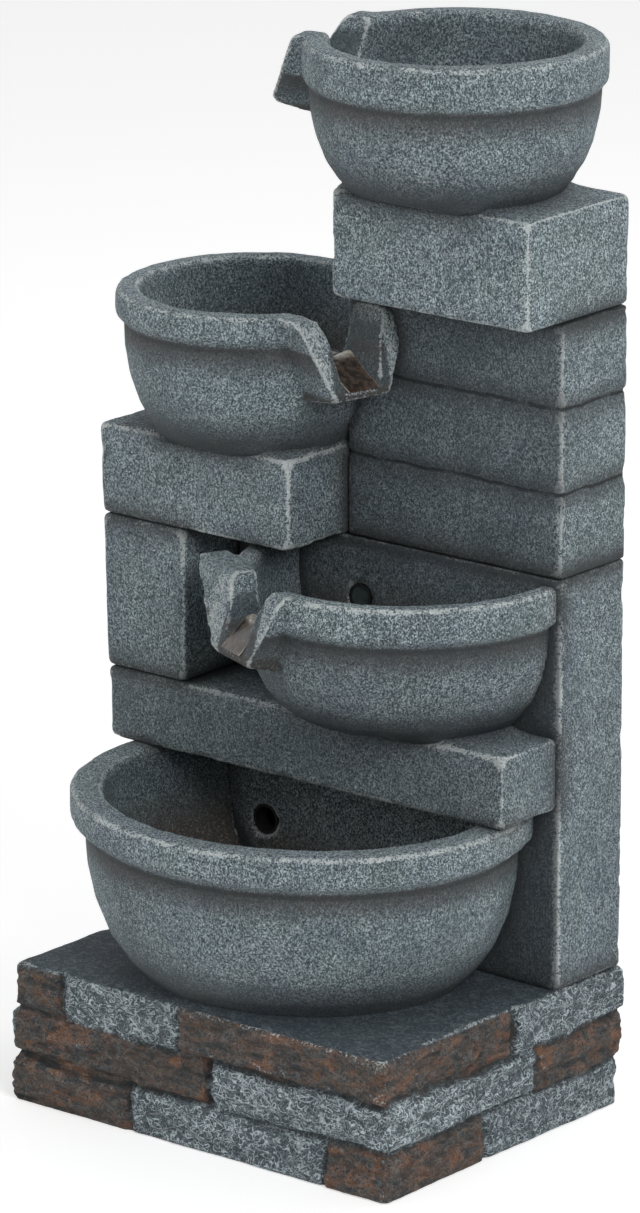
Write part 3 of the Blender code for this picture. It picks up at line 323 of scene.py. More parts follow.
def rgb(text):
    """Linear colour from six hexadecimal digits."""
    parts = [int(text[k:k + 2], 16) / 255 for k in (0, 2, 4)]
    return (*[c / 12.92 if c <= 0.04045 else ((c + 0.055) / 1.055) ** 2.4 for c in parts], 1.0)


SLATE_DARK, SLATE_LIGHT, SLATE_GRAIN = rgb("2C393F"), rgb("3B4A50"), rgb("5D6E75")
# patches of another tint: size, detail, distortion, where they start and are full, colour
SLATE_TINTS = (
    (95, 2, 0.0, 0.42, 0.62, rgb("425358")),
    (60, 2, 0.5, 0.48, 0.66, rgb("374A5C")),
    (80, 2, 0.3, 0.5, 0.68, rgb("3D504B")),
)
WARM_WASH, STONE_SLATE = rgb("575250"), rgb("2A3741")
DRY_BRUSH, CURL_PAINT, RUBBED = rgb("D4E4EA"), rgb("D4E2E8"), rgb("DFE6E6")
# painted shade colours: the one for creases and contacts on this line, and both on the next line
PIT, CREASE_SHADE, GROOVE, JOINT = rgb("161C1F"), rgb("1D2427"), rgb("14191C"), rgb("333536")
SHADE, STONE_SHADE = rgb("1E272C"), rgb("2B3A46")
SOIL_DARK, SOIL_LIGHT, SOIL_RUST = rgb("262526"), rgb("56493F"), rgb("805639")
SOOT_DARK, SOOT_LIGHT, SOOT_SPECK, SOOT_RUST = rgb("302C2A"), rgb("5A534C"), rgb("A59C92"), rgb("634837")
BUMP_DEPTH = 1.5


def slate_base(look, blot, patch, grain, warm):
    """Slate paint in two greys with faint patches of other tints, warm where two castings meet."""
    base = look.mix(look.ramp(blot, 0.35, 0.65), SLATE_DARK, SLATE_LIGHT)
    for size, detail, distortion, low, high, tint in SLATE_TINTS:
        base = look.mix(look.ramp(look.noise(size, detail, distortion), low, high, 0.0, 0.6), base, tint)
    base = look.mix(look.ramp(grain, 0.42, 0.62, 0.0, 0.55), base, SLATE_GRAIN)
    return look.mix(look.product(warm, look.ramp(patch, 0.25, 0.6, 0.45, 1.0)), base, WARM_WASH)


def stone_base(look, base, brown, mask):
    """Rust-brown stones between slate ones that carry large curls of pale paint."""
    strata = look.noise(13, 4, 0.5, look.stretch((1, 1, 2.8)), 0.58)
    soil = look.mix(look.ramp(strata, 0.38, 0.62), SOIL_DARK, SOIL_LIGHT)
    rust = look.product(look.ramp(look.noise(19, 4, 0.6, look.stretch((1, 1, 1.7)), 0.55), 0.43, 0.64),
                        look.ramp(look.noise(42, 2), 0.38, 0.58, 0.2, 0.85))
    base = look.mix(brown, base, look.mix(rust, soil, SOIL_RUST))
    curls = look.contour(look.noise(10.0, 1.5, 1.2, look.stretch((1, 1, 1.5))), 0.012, 0.045)
    small = look.contour(look.noise(5.5, 1.0, 1.2, look.stretch((1, 1, 1.3))), 0.012, 0.05, 0.8)
    curls = look.math("MAXIMUM", curls, look.product(small, look.ramp(look.noise(13, 2), 0.42, 0.6)))
    base = look.mix(look.product(look.math("SUBTRACT", 1.0, brown), 0.65), base, STONE_SLATE)
    return look.mix(look.product(curls, mask, 0.95), base, CURL_PAINT)


def soot(look, grain):
    """The speckled brown stain that standing water leaves."""
    made = look.mix(look.ramp(grain, 0.3, 0.62), SOOT_DARK, SOOT_LIGHT)
    made = look.mix(look.ramp(look.noise(1.9, 2), 0.56, 0.66, 0.0, 0.7), made, SOOT_SPECK)
    return look.mix(look.ramp(look.noise(9, 3), 0.5, 0.7, 0.0, 0.25), made, SOOT_RUST)


def rubbed_edges(look, wear, line, dash):
    """Pale paint on worn edges, broken by the strokes and by noise of two sizes."""
    fleck = look.product(look.math("SUBTRACT", look.noise(1.9, 2, 0.8), 0.5), 3.4)
    run = look.product(look.math("SUBTRACT", look.noise(14, 2), 0.5), 1.6)
    broken = look.math("ADD", wear, look.math("ADD", fleck, run))
    stroke = look.math("ADD", look.product(look.math("MAXIMUM", line, dash), 0.5), 0.7)
    return look.product(look.ramp(broken, 0.48, 0.7), look.ramp(wear, 0.1, 0.3), stroke)


def courses(look, base, height, levels):
    """Thin uneven grooves, with a wash beside them, at the levels where the tower's courses meet."""
    up = look.node("ShaderNodeSeparateXYZ")
    look.feed(up.inputs[0], look.place)
    bow = look.product(look.math("SUBTRACT", look.noise(34, 5), 0.5), 8 * MM)
    up = look.math("ADD", up.outputs["Z"], bow)
    groove = 0.0
    for level in levels:
        off = look.math("ABSOLUTE", look.math("SUBTRACT", up, level * MM))
        groove = look.math("MAXIMUM", look.ramp(off, 0.3 * MM, 1.7 * MM, 1.0, 0.0), groove)
        base = look.mix(look.ramp(off, 1 * MM, 20 * MM, 0.6, 0.0), base, JOINT)
    groove = look.product(groove, look.ramp(look.noise(22, 2), 0.36, 0.5, 0.45, 1.0))
    base = look.mix(look.product(groove, 0.9), base, GROOVE)
    return base, look.math("SUBTRACT", height, look.product(groove, 2.2))


def slate_look(name, stones=False, levels=()):
    """Cast resin: slate paint with painted shade in the hollows, in recesses and where castings meet, with a
    dry-brushed worm-like highlight on every high spot.
    """
    look = Look(name, 0.78)
    blot = look.noise(70, 3)
    patch = look.noise(26, 3, 0.6)
    tall = look.stretch((1, 1, 0.7))
    line = look.contour(look.noise(1.7, 1.0, 0.8, tall), 0.015, 0.065)
    line = look.product(line, look.ramp(look.noise(2.6, 1.0, 0.0, tall), 0.42, 0.52, 0.2, 1.0))
    dash = look.ramp(look.noise(1.1, 1.0, 0.8, tall), 0.55, 0.59)
    grain = look.noise(1.0, 2)
    wear, hollow, warm = (look.attribute(name) for name in ("wear", "hollow", "warm"))
    tone, earth, brush = (look.attribute(name) for name in ("tone", "earth", "brush"))
    base = slate_base(look, blot, patch, grain, warm)
    mask = look.math("ADD", look.product(patch, 0.6), look.product(blot, 0.4))
    # the amount of dry brush, raised as painted light on lit faces and lowered in painted shade
    mask = look.product(look.ramp(mask, 0.36, 0.62, 0.68, 1.0), brush)
    if stones:
        brown = look.attribute("brown")
        mask = look.product(mask, look.ramp(brown, 0.0, 1.0, 1.0, 0.12))
        base = stone_base(look, base, brown, mask)
    dab = look.product(look.math("MAXIMUM", line, look.product(dash, 0.8)), mask)
    base = look.mix(look.product(dab, 0.4 if stones else 1.0), base, DRY_BRUSH)
    pit = look.ramp(look.noise(1.6, 1.0, 0.3), 0.6, 0.66)
    base = look.mix(look.product(pit, 0.8), base, PIT)
    base = look.mix(earth, base, soot(look, grain))
    base = look.mix(rubbed_edges(look, wear, line, dash), base, RUBBED)
    # painted shade in creases and where castings meet
    base = look.mix(look.product(hollow, 0.65 if stones else 0.85), base, CREASE_SHADE)
    height = look.math("ADD", look.product(look.math("ADD", line, dash), 0.5), look.product(grain, 0.5))
    height = look.math("ADD", height, look.product(look.noise(9, 2), 1.2))
    if levels:
        base, height = courses(look, base, height, levels)
    # painted shade: darker on faces in recesses, under overhangs and beside other castings
    base = look.mix(tone, base, STONE_SHADE if stones else SHADE)
    return look.finish(base, look.ramp(grain, 0.3, 0.7, 0.72, 0.88), look.bump(height, BUMP_DEPTH))


COURSE_LEVELS = (443.0, 510.0, 577.0, 643.8)
SLATE_LOOK = slate_look("slate_resin")
TOWER_LOOK = slate_look("slate_courses", levels=COURSE_LEVELS)
STONE_LOOK = slate_look("stone_resin", stones=True)


# Castings

CASTINGS = ("tower_lower", "tower_upper", "ledge_block", "left_column", "left_block", "top_block", "bowl_top",
            "bowl_upper", "bowl_lower", "basin", "plinth")
NEIGHBOUR_REACH = 34        # how far a casting feels the ones that it touches
FAR = 99.0
EASE_ROUNDS = 1             # rounds of smoothing that wear the edges
WAVE = 0.8                  # unevenness of a cast face
CHIP = 1.6                  # depth of the bits that are broken out of an edge
FILLET = 18                 # reach of the concave curve where a bowl meets its block


def search_tree(node):
    bm = bmesh.new()
    bm.from_mesh(NODES[node].data)
    tree = BVHTree.FromBMesh(bm)
    bm.free()
    return tree


TREES = {node: search_tree(node) for node in CASTINGS}


def nearest(co, node, reach):
    """For points within reach millimetres of another casting: how far off it is."""
    far = np.full(len(co), reach)
    low, high = (np.array(corner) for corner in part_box(node))
    close = ((co > low - reach * MM) & (co < high + reach * MM)).all(1)
    tree = TREES[node]
    for k in np.nonzero(close)[0]:
        hit = tree.find_nearest(co[k], reach * MM)
        if hit[0] is not None:
            far[k] = hit[3] / MM
    return far


def weathered(mesh, node, voxel, seed):
    """Round the edges of a remeshed casting, make its faces uneven and break bits out of its edges.

    Gives the points and normals with how much each is an edge, how worn, how much painted shade its hollows get and
    how near to a neighbour.
    """
    pairs = edge_pairs(mesh)
    co = coords(mesh)
    near = np.full(len(co), FAR)
    for other in CASTINGS:
        if other != node:
            near = np.minimum(near, nearest(co, other, NEIGHBOUR_REACH))
    fit = ramp(near, 2, 7)
    co = co + (averaged(co, pairs, EASE_ROUNDS) - co) * (0.25 + 0.75 * fit)[:, None]
    move_to(mesh, co)
    no = normals(mesh)
    bend = ((averaged(co, pairs, 5) - co) * no).sum(1) / MM
    edge = ramp(-bend, 0.11 * voxel, 0.33 * voxel)
    crest = ramp(-bend, 0.15 * voxel, 0.32 * voxel)
    hollow = ramp(bend, 0.1 * voxel, 0.4 * voxel)
    shift = WAVE * rough(co, 48, seed) + 0.45 * WAVE * rough(co, 15, seed + 1)
    shift *= 0.2 + 0.8 * fit
    shift -= CHIP * edge * fit * ramp(rough(co, 13, seed + 2), 0.0, 0.45)
    co = co + no * shift[:, None] * MM
    move_to(mesh, co)
    return co, no, edge, np.maximum(crest, 0.2 * edge) * (0.4 + 0.6 * fit), averaged(hollow, pairs, 2), near


def fillet(co, no, other, spread):
    """How far a point beside another casting moves out, so that the two meet in a concave curve."""
    gap = np.clip(nearest(co, other, spread), 0.8, spread)
    push = spread - np.sqrt(spread ** 2 - (spread - gap) ** 2)
    return no * (0.55 * push)[:, None] * MM


def casting(node, voxel, seed, regions=None, look=SLATE_LOOK, joins=()):
    """A cast piece that stands for its CAD node: the same solid with worn edges and uneven faces."""
    mesh = remeshed(node, voxel)
    co, no, edge, wear, hollow, near = weathered(mesh, node, voxel, seed)
    for other in joins:
        co = co + fillet(co, no * (edge < 0.4)[:, None], other, FILLET)
    move_to(mesh, co)
    # painted shade near the castings that this one touches, with a warm wash there and less dry brush
    shade_and_wash = 0.5 * ramp(near, 26, 2) + 0.4 * ramp(near, 12, 1)
    paints = dict(wear=wear, hollow=np.clip(0.75 * hollow + 0.45 * ramp(near, 9, 1), 0, 1), warm=0.8 * shade_and_wash,
                  tone=0.62 * shade_and_wash, earth=np.zeros(len(co)), brush=1 - 0.55 * shade_and_wash)
    if regions:
        regions(local(co), no, paints)
    paint(mesh, **paints)
    obj = finished(mesh, node + "_cast", look)
    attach(obj, BODY[node])
    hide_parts(node)


class Spout(NamedTuple):
    """The channel that leads a bowl's water over its rim."""
    heading: float          # degrees from the x axis
    rim: float              # from the bowl's middle to its rim, along the channel
    drop: float             # from the rim's level to the channel's upper end
    fall: float             # from the rim's level to the channel's lower end
    reach: float            # how far the channel stands out over the rim


class Bowl(NamedTuple):
    centre: tuple
    radius: float           # of the rim, from side to side
    stretch: float          # from front to back, as a share of the radius
    level: float            # height of the rim
    collar: float           # height of the collar
    base: float             # level of the foot
    spout: Spout = None


CHANNEL_HALF = 27           # half the channel's width
BOWLS = {
    "top": Bowl((75.5, 222), 116, 1.0, 846.8, 34, 730, Spout(190, 116, 38, 60, 28)),
    "upper": Bowl((-103, 201), 109.5, 1.0, 632, 25, 516, Spout(-14, 109.5, 38, 64, 28)),
    "lower": Bowl((51.5, 203), 134.5, 1.07, 437.9, 32, 319, Spout(246.6, 142.3, 32, 60, 15)),
    "basin": Bowl((-1.3, 132.5), 187, 0.91, 260.3, 31.5, 114),
}


def lay(channel, amount):
    """Raise a paint to an amount where it is less."""
    channel[:] = np.maximum(channel, amount)


def fade(paints, share, *names):
    """Take a share of some paints away."""
    for name in names:
        paints[name][:] = paints[name] * (1 - share)


def bowl_paint(bowl, earthy=1.0, outer_shade=0.0, crown=0.68):
    """Speckled brown inside a bowl, a warm wash and painted shade under its collar and at its foot, and more
    dry-brushed paint on the collar.

    earthy is how brown the inside is and crown how worn the rim; the argument between them is how much painted shade
    darkens the outside.
    """
    def regions(p, no, paints):
        side = np.stack([p[:, 0] - bowl.centre[0], (p[:, 1] - bowl.centre[1]) / bowl.stretch], 1)
        reach = np.hypot(side[:, 0], side[:, 1])
        under = bowl.level - p[:, 2]
        off_hem = bowl.collar - under
        facing_axis = -(side * no[:, :2]).sum(1) / np.maximum(reach, 1)
        inward = np.maximum(ramp(facing_axis, -0.15, 0.1), ramp(no[:, 2], 0.3, 0.6))
        inside = ramp(bowl.radius - 9 - reach, 0, 5) * ramp(under, 4, 12) * inward
        collar = ramp(off_hem, -2, 2)
        below = ramp(off_hem, -30, -3) * (1 - collar)
        foot = ramp(p[:, 2], bowl.base + 0.34 * (bowl.level - bowl.base), bowl.base + 3)
        outer = (1 - inside) * (1 - collar)
        paints["earth"][:] = 0.85 * earthy * inside * ramp(under, 28, 80)
        fade(paints, 0.6 * inside, "warm", "hollow", "tone")
        lay(paints["warm"], 0.95 * np.maximum(below, 0.6 * foot) * (1 - inside))
        # painted shade on the outside under the collar and towards the foot, and a little inside a bowl that is not
        # brown
        paints["tone"][:] = np.clip(0.08 * (1 - earthy) * inside + outer * (outer_shade + 0.45 * below + 0.6 * foot), 0, 1)
        paints["brush"][:] = np.where(inside > 0.3, 0.78,
                                      1.1 * collar + (1 - collar) * (1 - 0.7 * np.maximum(below, foot)))
        lip = np.hypot(reach - bowl.radius + 2.5, 2.5 - under)
        hem = np.abs(off_hem) + ramp(reach, bowl.radius - 2, bowl.radius - 6) * 9
        # a painted shadow line just below the collar's hem
        hem_shadow = ramp(np.abs(off_hem + 3.5), 3.2, 0.8) * (1 - inside)
        worn = np.maximum(crown * ramp(lip, 3.4, 1), 0.6 * crown * ramp(hem, 3.4, 1))
        ring = spout_paint(bowl, side, under, no, paints) if bowl.spout else 1.0
        lay(paints["wear"], worn * ring)
        lay(paints["hollow"], 0.6 * hem_shadow * ring)
    return regions


def spout_paint(bowl, side, under, no, paints):
    """Bright wings on both sides of a spout, and a channel in painted shade with a stain at its lower end.

    Gives how far each point belongs to the rest of the rim.
    """
    angle = math.radians(bowl.spout.heading)
    heading = np.array((math.cos(angle), math.sin(angle)))
    out = side @ heading
    across = np.abs(side @ np.array((-heading[1], heading[0])))
    lip = bowl.spout.fall - under
    beak = ramp(out, bowl.radius - 4, bowl.radius + 3) * ramp(across, CHANNEL_HALF + 32, CHANNEL_HALF + 20)
    lane = ramp(out, bowl.radius - 26, bowl.radius - 14) * ramp(across, CHANNEL_HALF + 1, CHANNEL_HALF - 2)
    lane *= ramp(under, 3, 7) * (0.25 + 0.75 * ramp(lip, -9, -1))
    facing = ramp(no[:, :2] @ heading, 0.2, 0.6) * (1 - lane)
    for name, value in (("brush", 1.7), ("warm", 0.0), ("tone", 0.1)):
        paints[name][:] += (value - paints[name]) * beak * facing
    lay(paints["wear"], 0.4 * beak * facing)
    # painted shade and less dry brush in the channel
    paints["brush"][:] += (0.35 - paints["brush"]) * lane
    lay(paints["tone"], 0.3 * lane)
    paints["earth"][:] = np.maximum(paints["earth"] * (1 - 0.7 * beak * lane), 0.75 * lane * ramp(lip, 16, 4))
    return 1 - ramp(out, 0, 20) * ramp(across, CHANNEL_HALF + 32, CHANNEL_HALF + 22)


class Wet(NamedTuple):
    """Where the water of a half-round bowl stands against a wall."""
    middle: float
    half: float             # half the width at the water's level
    level: float
    tone: float             # how dark the painted shade is on the wall below the water
    fade: float             # how far below the level the stain starts
    light: float            # more dry-brushed paint, a painted lightening of the wall below the water


WET_DEPTH = 132             # how far below its level a pool narrows to nothing


def wall_paint(front, dark, brush, wet=()):
    """Painted shade on the faces that look forward from a recess, and stains where a bowl's water stands on them."""
    def regions(p, no, paints):
        ahead = ramp(-no[:, 1], 0.4, 0.8) * ramp(p[:, 1], front - 8, front - 2)
        # painted shade on the faces in the recess, which a pool's own painted shade replaces below its water
        shade = dark * ahead
        for pool in wet:
            under, off = pool.level - p[:, 2], p[:, 0] - pool.middle
            bow = np.sqrt(1 - np.clip(under / WET_DEPTH, 0, 1) ** 2)
            here = ramp(pool.half * bow - np.abs(off), 0, 8) * ramp(under, 0, 6)
            shade = shade * (1 - here) + pool.tone * ahead * here
            fade(paints, 0.6 * ahead * here, "warm", "hollow", "tone")
            stain = ahead * here * ramp(under, pool.fade, pool.fade + 40)
            lay(paints["earth"], 0.8 * stain * ramp(off, pool.half, 0))
            # painted light: more dry-brushed paint on the wall below the water
            paints["brush"][:] = paints["brush"] * (1 + pool.light * ahead * here)
        lay(paints["tone"], shade)
        paints["brush"][:] = paints["brush"] * np.where(ahead > 0.5, brush, 1)
    return regions


def lit_side_paint(gain, ease):
    """Painted light on the face to the right, where the light falls: more dry-brushed paint and less painted shade and
    warm wash there, and a little more dry-brushed paint on the others.
    """
    def regions(p, no, paints):
        right = ramp(no[:, 0], 0.4, 0.8)
        paints["brush"][:] = paints["brush"] * (1 + gain * (0.35 + 0.65 * right))
        fade(paints, ease * right, "tone", "warm")
    return regions


TOWER_FRONT = 210
BASIN_WATER = Wet(-1.3, 156, 260, tone=0.0, fade=50, light=1.0)
LOWER_BOWL_WATER = Wet(51.5, 120, 438, tone=0.45, fade=20, light=0.0)
FINE, MIDDLING, COARSE, COARSEST = 2.1, 2.4, 2.6, 2.8       # how far apart the faces' points are
casting("tower_lower", COARSEST, 3, wall_paint(TOWER_FRONT, 0.72, 0.8, (BASIN_WATER, LOWER_BOWL_WATER)))
casting("tower_upper", COARSE, 5, wall_paint(TOWER_FRONT, 0.47, 0.95), TOWER_LOOK)
casting("ledge_block", FINE, 7, wall_paint(0, 0.26, 0.95), joins=("bowl_lower",))
casting("left_column", FINE, 9)
casting("left_block", FINE, 11, joins=("bowl_upper",))
casting("top_block", FINE, 13, lit_side_paint(0.35, 0.5), joins=("bowl_top",))
casting("bowl_top", FINE, 15, bowl_paint(BOWLS["top"], earthy=0.0, crown=0.45), joins=("top_block",))
casting("bowl_upper", FINE, 17, bowl_paint(BOWLS["upper"], crown=0.4), joins=("left_block",))
casting("bowl_lower", FINE, 19, bowl_paint(BOWLS["lower"], outer_shade=0.14), joins=("ledge_block",))
casting("basin", MIDDLING, 21, bowl_paint(BOWLS["basin"]), joins=("plinth",))


# Plinth of stacked stones

# Three layers from the bottom up, each with its front, right, back and left side: where one stone ends and the
# next begins, as a share of the side's length, and which stones are brown.
STONE_JOINTS = (
    ((0.32, 0.83), (0.43,), (0.28, 0.66), (0.55,)),
    ((0.53,), (0.63,), (0.46, 0.82), (0.36,)),
    ((0.14, 0.45), (0.54,), (0.34, 0.7), (0.62,)),
)
STONE_BROWN = (
    ((1, 0, 1), (1, 0), (0, 1, 0), (0, 1)),
    ((1, 0), (0, 1), (1, 0, 1), (1, 0)),
    ((1, 0, 1), (1, 0), (0, 1, 0), (0, 1)),
)
PLINTH_WIDTH, PLINTH_DEPTH, PLINTH_HEIGHT = 377.0, 297.0, 114.0
LAYER_HEIGHT = PLINTH_HEIGHT / len(STONE_JOINTS)
SPARE = 50                  # how far the stones at a side's ends reach past it, so that every point is in one
NO_JOINT = 20               # a distance at which a joint no longer shows
STRATUM = 8.5               # height of the thin layers within a stone


def stone_map(p):
    """For points on the plinth's sides: how brown the stone is, how near its joints are, its own number, and how
    far inside the plinth the point lies."""
    half, depth = PLINTH_WIDTH / 2, PLINTH_DEPTH
    gaps = np.stack([p[:, 1], half - p[:, 0], depth - p[:, 1], p[:, 0] + half])
    side = gaps.argmin(0)
    along = np.choose(side, [(p[:, 0] + half) / PLINTH_WIDTH, p[:, 1] / depth,
                             (half - p[:, 0]) / PLINTH_WIDTH, (depth - p[:, 1]) / depth])
    length = np.where(side % 2 == 0, PLINTH_WIDTH, depth)
    m = p * MM
    z = p[:, 2] + 5.5 * rough(m, 60, 71) + 1.4 * rough(m, 14, 72)
    layer = np.clip(np.floor(z / LAYER_HEIGHT), 0, 2).astype(int)
    near = np.minimum(z - layer * LAYER_HEIGHT, (layer + 1) * LAYER_HEIGHT - z)
    near = np.where((layer == 0) & (z < 0.5 * LAYER_HEIGHT), NO_JOINT, near)
    near = np.where((layer == 2) & (z > 2.5 * LAYER_HEIGHT), NO_JOINT, near)
    u = along * length + 4.0 * rough(m, 30, 73) + 1.5 * rough(m, 9, 74)
    brown = np.zeros(len(p))
    number = np.zeros(len(p))
    for row, sides in enumerate(STONE_JOINTS):
        for face, joints in enumerate(sides):
            here = (layer == row) & (side == face)
            splits = (0.0, *joints, 1.0)
            for k, (first, last) in enumerate(zip(splits, splits[1:])):
                low = first * length if first > 0 else -SPARE
                high = last * length if last < 1 else length + SPARE
                mine = here & (u >= low) & (u < high)
                brown[mine] = STONE_BROWN[row][face][k]
                number[mine] = row * 16 + face * 4 + k
                near = np.where(mine, np.minimum(near, np.minimum(u - low, high - u)), near)
    return brown, near, number, gaps.min(0)


def stone_relief(co, z, brown, number, joint, pairs):
    """How far the broken stones stand out or lie back, and the lumps that the whole plinth shares."""
    zero = number * 0
    own = lattice(5, np.stack([number, zero, zero], 1))
    stratum = np.floor((z + 3.5 * rough(co, 34, 86, 2)) / STRATUM + number * 0.37)
    ledge = averaged(lattice(9, np.stack([stratum, number, zero], 1)), pairs, 1)
    strata = rough(co, 24, 81, 4, 0.6, (0.6, 0.6, 2.8))
    lumps = rough(co, 34, 82, 3)
    fine = rough(co, 6, 83, 2)
    crack = ramp(np.abs(rough(co, 40, 84, 2, 0.5, (0.5, 0.5, 2.2))), 0.035, 0.0) * brown
    relief = own + (1.1 + 0.9 * brown) * ledge + (2.6 + 1.4 * brown) * strata + 1.4 * lumps + fine
    return relief - (3.0 * joint + 1.6 * crack), lumps


def stone_plinth():
    mesh = remeshed("plinth", MIDDLING)
    pairs = edge_pairs(mesh)
    co = averaged(coords(mesh), pairs, 3)
    move_to(mesh, co)
    no = averaged(normals(mesh), pairs, 2)
    no /= np.maximum(np.linalg.norm(no, axis=1), 1e-6)[:, None]
    p = local(co)
    brown, near, number, depth = stone_map(p)
    outer = ramp(12 - depth, 0, 4)
    deck = ramp(no[:, 2], 0.6, 0.9) * ramp(p[:, 2], 108, 112)
    face = outer * (1 - deck)
    faint = 0.35 + 0.65 * ramp(rough(co, 26, 87, 2), -0.35, 0.2)
    relief, lumps = stone_relief(co, p[:, 2], brown, number, ramp(near, 3.4, 0.4) * faint, pairs)
    shift = relief * face + deck * outer * lumps + (1 - outer) * 0.3 * lumps
    upright = no.copy()
    upright[:, 2] *= np.where(p[:, 2] < 6, 0.0, 1.0)
    co = co + upright * shift[:, None] * MM
    co[:, 2] = np.maximum(co[:, 2], 0.0)
    move_to(mesh, co)
    no = normals(mesh)
    bend = ((averaged(co, pairs, 4) - co) * no).sum(1) / MM
    edge = averaged(ramp(-bend, 0.2, 0.8), pairs, 1)
    # painted shade in the hollows, and darker joints between the stones
    hollow = np.clip(ramp(bend, 0.2, 0.9) * 0.9 + 0.6 * averaged(ramp(near, 3, 0.5) * faint, pairs, 1) * face, 0, 1)
    co = co + fillet(co, no * deck[:, None], "basin", FILLET)
    move_to(mesh, co)
    # painted shade where the plinth meets the basin
    near_basin = ramp(nearest(co, "basin", 26), 24, 3)
    paint(mesh, wear=edge * (0.22 + 0.6 * deck), hollow=np.maximum(hollow, 0.7 * near_basin), warm=0.25 * face,
          brown=averaged(brown, pairs, 1) * ramp(face, 0.3, 0.7), tone=0.35 * deck, earth=np.zeros(len(co)),
          brush=np.where(deck > 0.5, 0.3, 1.05))
    obj = finished(mesh, "plinth_cast", STONE_LOOK)
    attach(obj, "casting")
    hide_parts("plinth")


stone_plinth()


# Clear strips that lead the water over the spouts

FILM_HALF = 14.6
FILM_THICKNESS = 0.5
FILM_LIFT = 1.2             # how far the film lies over the channel's floor
FILM_ROWS, FILM_COLUMNS = 30, 26
FILM_DARK, FILM_LIGHT, FILM_RUST, FILM_TORN = rgb("2B2826"), rgb("54483F"), rgb("74492F"), rgb("C9C4BA")


def film_look():
    """Water-stained clear sheet: brown streaks down the flow, whitish where it is torn or bent at an edge."""
    look = Look("clear_film", 0.2)
    look.shader.inputs["Alpha"].default_value = 0.86
    look.shader.inputs["Coat Weight"].default_value = 0.4
    look.shader.inputs["Coat Roughness"].default_value = 0.12
    torn, run = look.attribute("torn"), look.attribute("run")
    streak = look.ramp(look.noise(5, 3, 0.4, look.stretch((1, 1, 0.18))), 0.35, 0.65)
    colour = look.mix(streak, FILM_DARK, FILM_LIGHT)
    colour = look.mix(look.product(run, look.ramp(look.noise(6, 3), 0.45, 0.62, 0.0, 0.4)), colour, FILM_RUST)
    whitish = look.product(torn, look.ramp(look.noise(3, 3, 1.0), 0.35, 0.55, 0.4, 1.0))
    colour = look.mix(whitish, colour, FILM_TORN)
    return look.finish(colour, look.ramp(streak, 0.0, 1.0, 0.14, 0.3), look.bump(look.noise(4, 2, 0.6), 0.3))


FILM_LOOK = film_look()


def film_points(bowl):
    """Points of a strip that follows the channel's floor, row by row, with a jagged upper end that stands up a
    little, with how torn each is, its place across from -1 to 1, and how near it is to the lower end."""
    spout = bowl.spout
    heading = math.radians(spout.heading)
    out = np.array((math.cos(heading), math.sin(heading), 0))
    across = np.array((-out[1], out[0], 0))
    path = np.array([(spout.rim - 9.5, -spout.drop), (spout.rim - 6.0, -spout.drop),
                     (spout.rim + spout.reach, 7.0 - spout.fall)])
    spans = np.hypot(*np.diff(path, axis=0).T)
    marks = np.concatenate([[0], np.cumsum(spans)])
    s, w = np.meshgrid(np.linspace(0, marks[-1], FILM_ROWS), np.linspace(-1, 1, FILM_COLUMNS), indexing="ij")
    s, w = s.ravel(), w.ravel()
    jag = rough(np.stack([w * 14, w * 0, w * 0 + spout.heading], 1) * MM, 5, 31, 2)
    s = s + (2.2 * jag - 0.6) * ramp(s, 9, 0)
    at = np.stack([np.interp(s, marks, path[:, 0]), np.interp(s, marks, path[:, 1])], 1)
    slope = np.arctan2(*(path[2] - path[1])[::-1])
    tilt = slope * ramp(s, spans[0] - 2, spans[0] + 2)
    ripple = rough(np.stack([w * 14, s, s * 0], 1) * MM, 7, 32, 2)
    torn = ramp(s, 8, 1)
    lift = FILM_LIFT + 0.25 * ripple + torn * (1.4 + 1.6 * ripple + 1.2 * jag)
    at[:, 0] += -np.sin(tilt) * lift
    at[:, 1] += np.cos(tilt) * lift
    middle = np.array((*bowl.centre, bowl.level))
    side = FILM_HALF * (w + 0.02 * ripple)
    points = middle + out * at[:, :1] + across * side[:, None] + np.array((0, 0, 1)) * at[:, 1:]
    return points, torn, w, ramp(s, marks[-1] - 9, marks[-1])


def film(which):
    points, torn, w, end = film_points(BOWLS[which])
    bm = bmesh.new()
    verts = [bm.verts.new(world(*point)) for point in points]
    for i in range(FILM_ROWS - 1):
        for j in range(FILM_COLUMNS - 1):
            k = i * FILM_COLUMNS + j
            bm.faces.new((verts[k], verts[k + 1], verts[k + FILM_COLUMNS + 1], verts[k + FILM_COLUMNS]))
    bmesh.ops.recalc_face_normals(bm, faces=bm.faces)
    mesh = bpy.data.meshes.new("film_" + which)
    bm.to_mesh(mesh)
    bm.free()
    paint(mesh, torn=np.maximum(torn, 0.8 * ramp(np.abs(w), 0.93, 1.0)), run=np.maximum(end, 0.6 * (w > 0.8)))
    obj = finished(mesh, "film_" + which, FILM_LOOK)
    thick = obj.modifiers.new("thick", "SOLIDIFY")
    thick.thickness = FILM_THICKNESS * MM
    thick.offset = 0
    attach(obj, BODY["spout_strip_" + which])
    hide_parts("spout_strip_" + which)


for which, bowl in BOWLS.items():
    if bowl.spout:
        film(which)


# Plain looks for the small parts

class Plain(NamedTuple):
    """A colour between dark and light, mottled by noise of size millimetres, with a bump of depth millimetres."""
    dark: str
    light: str
    size: float
    roughness: float
    depth: float = 0.15
    metallic: float = 0.0
    alpha: float = 1.0


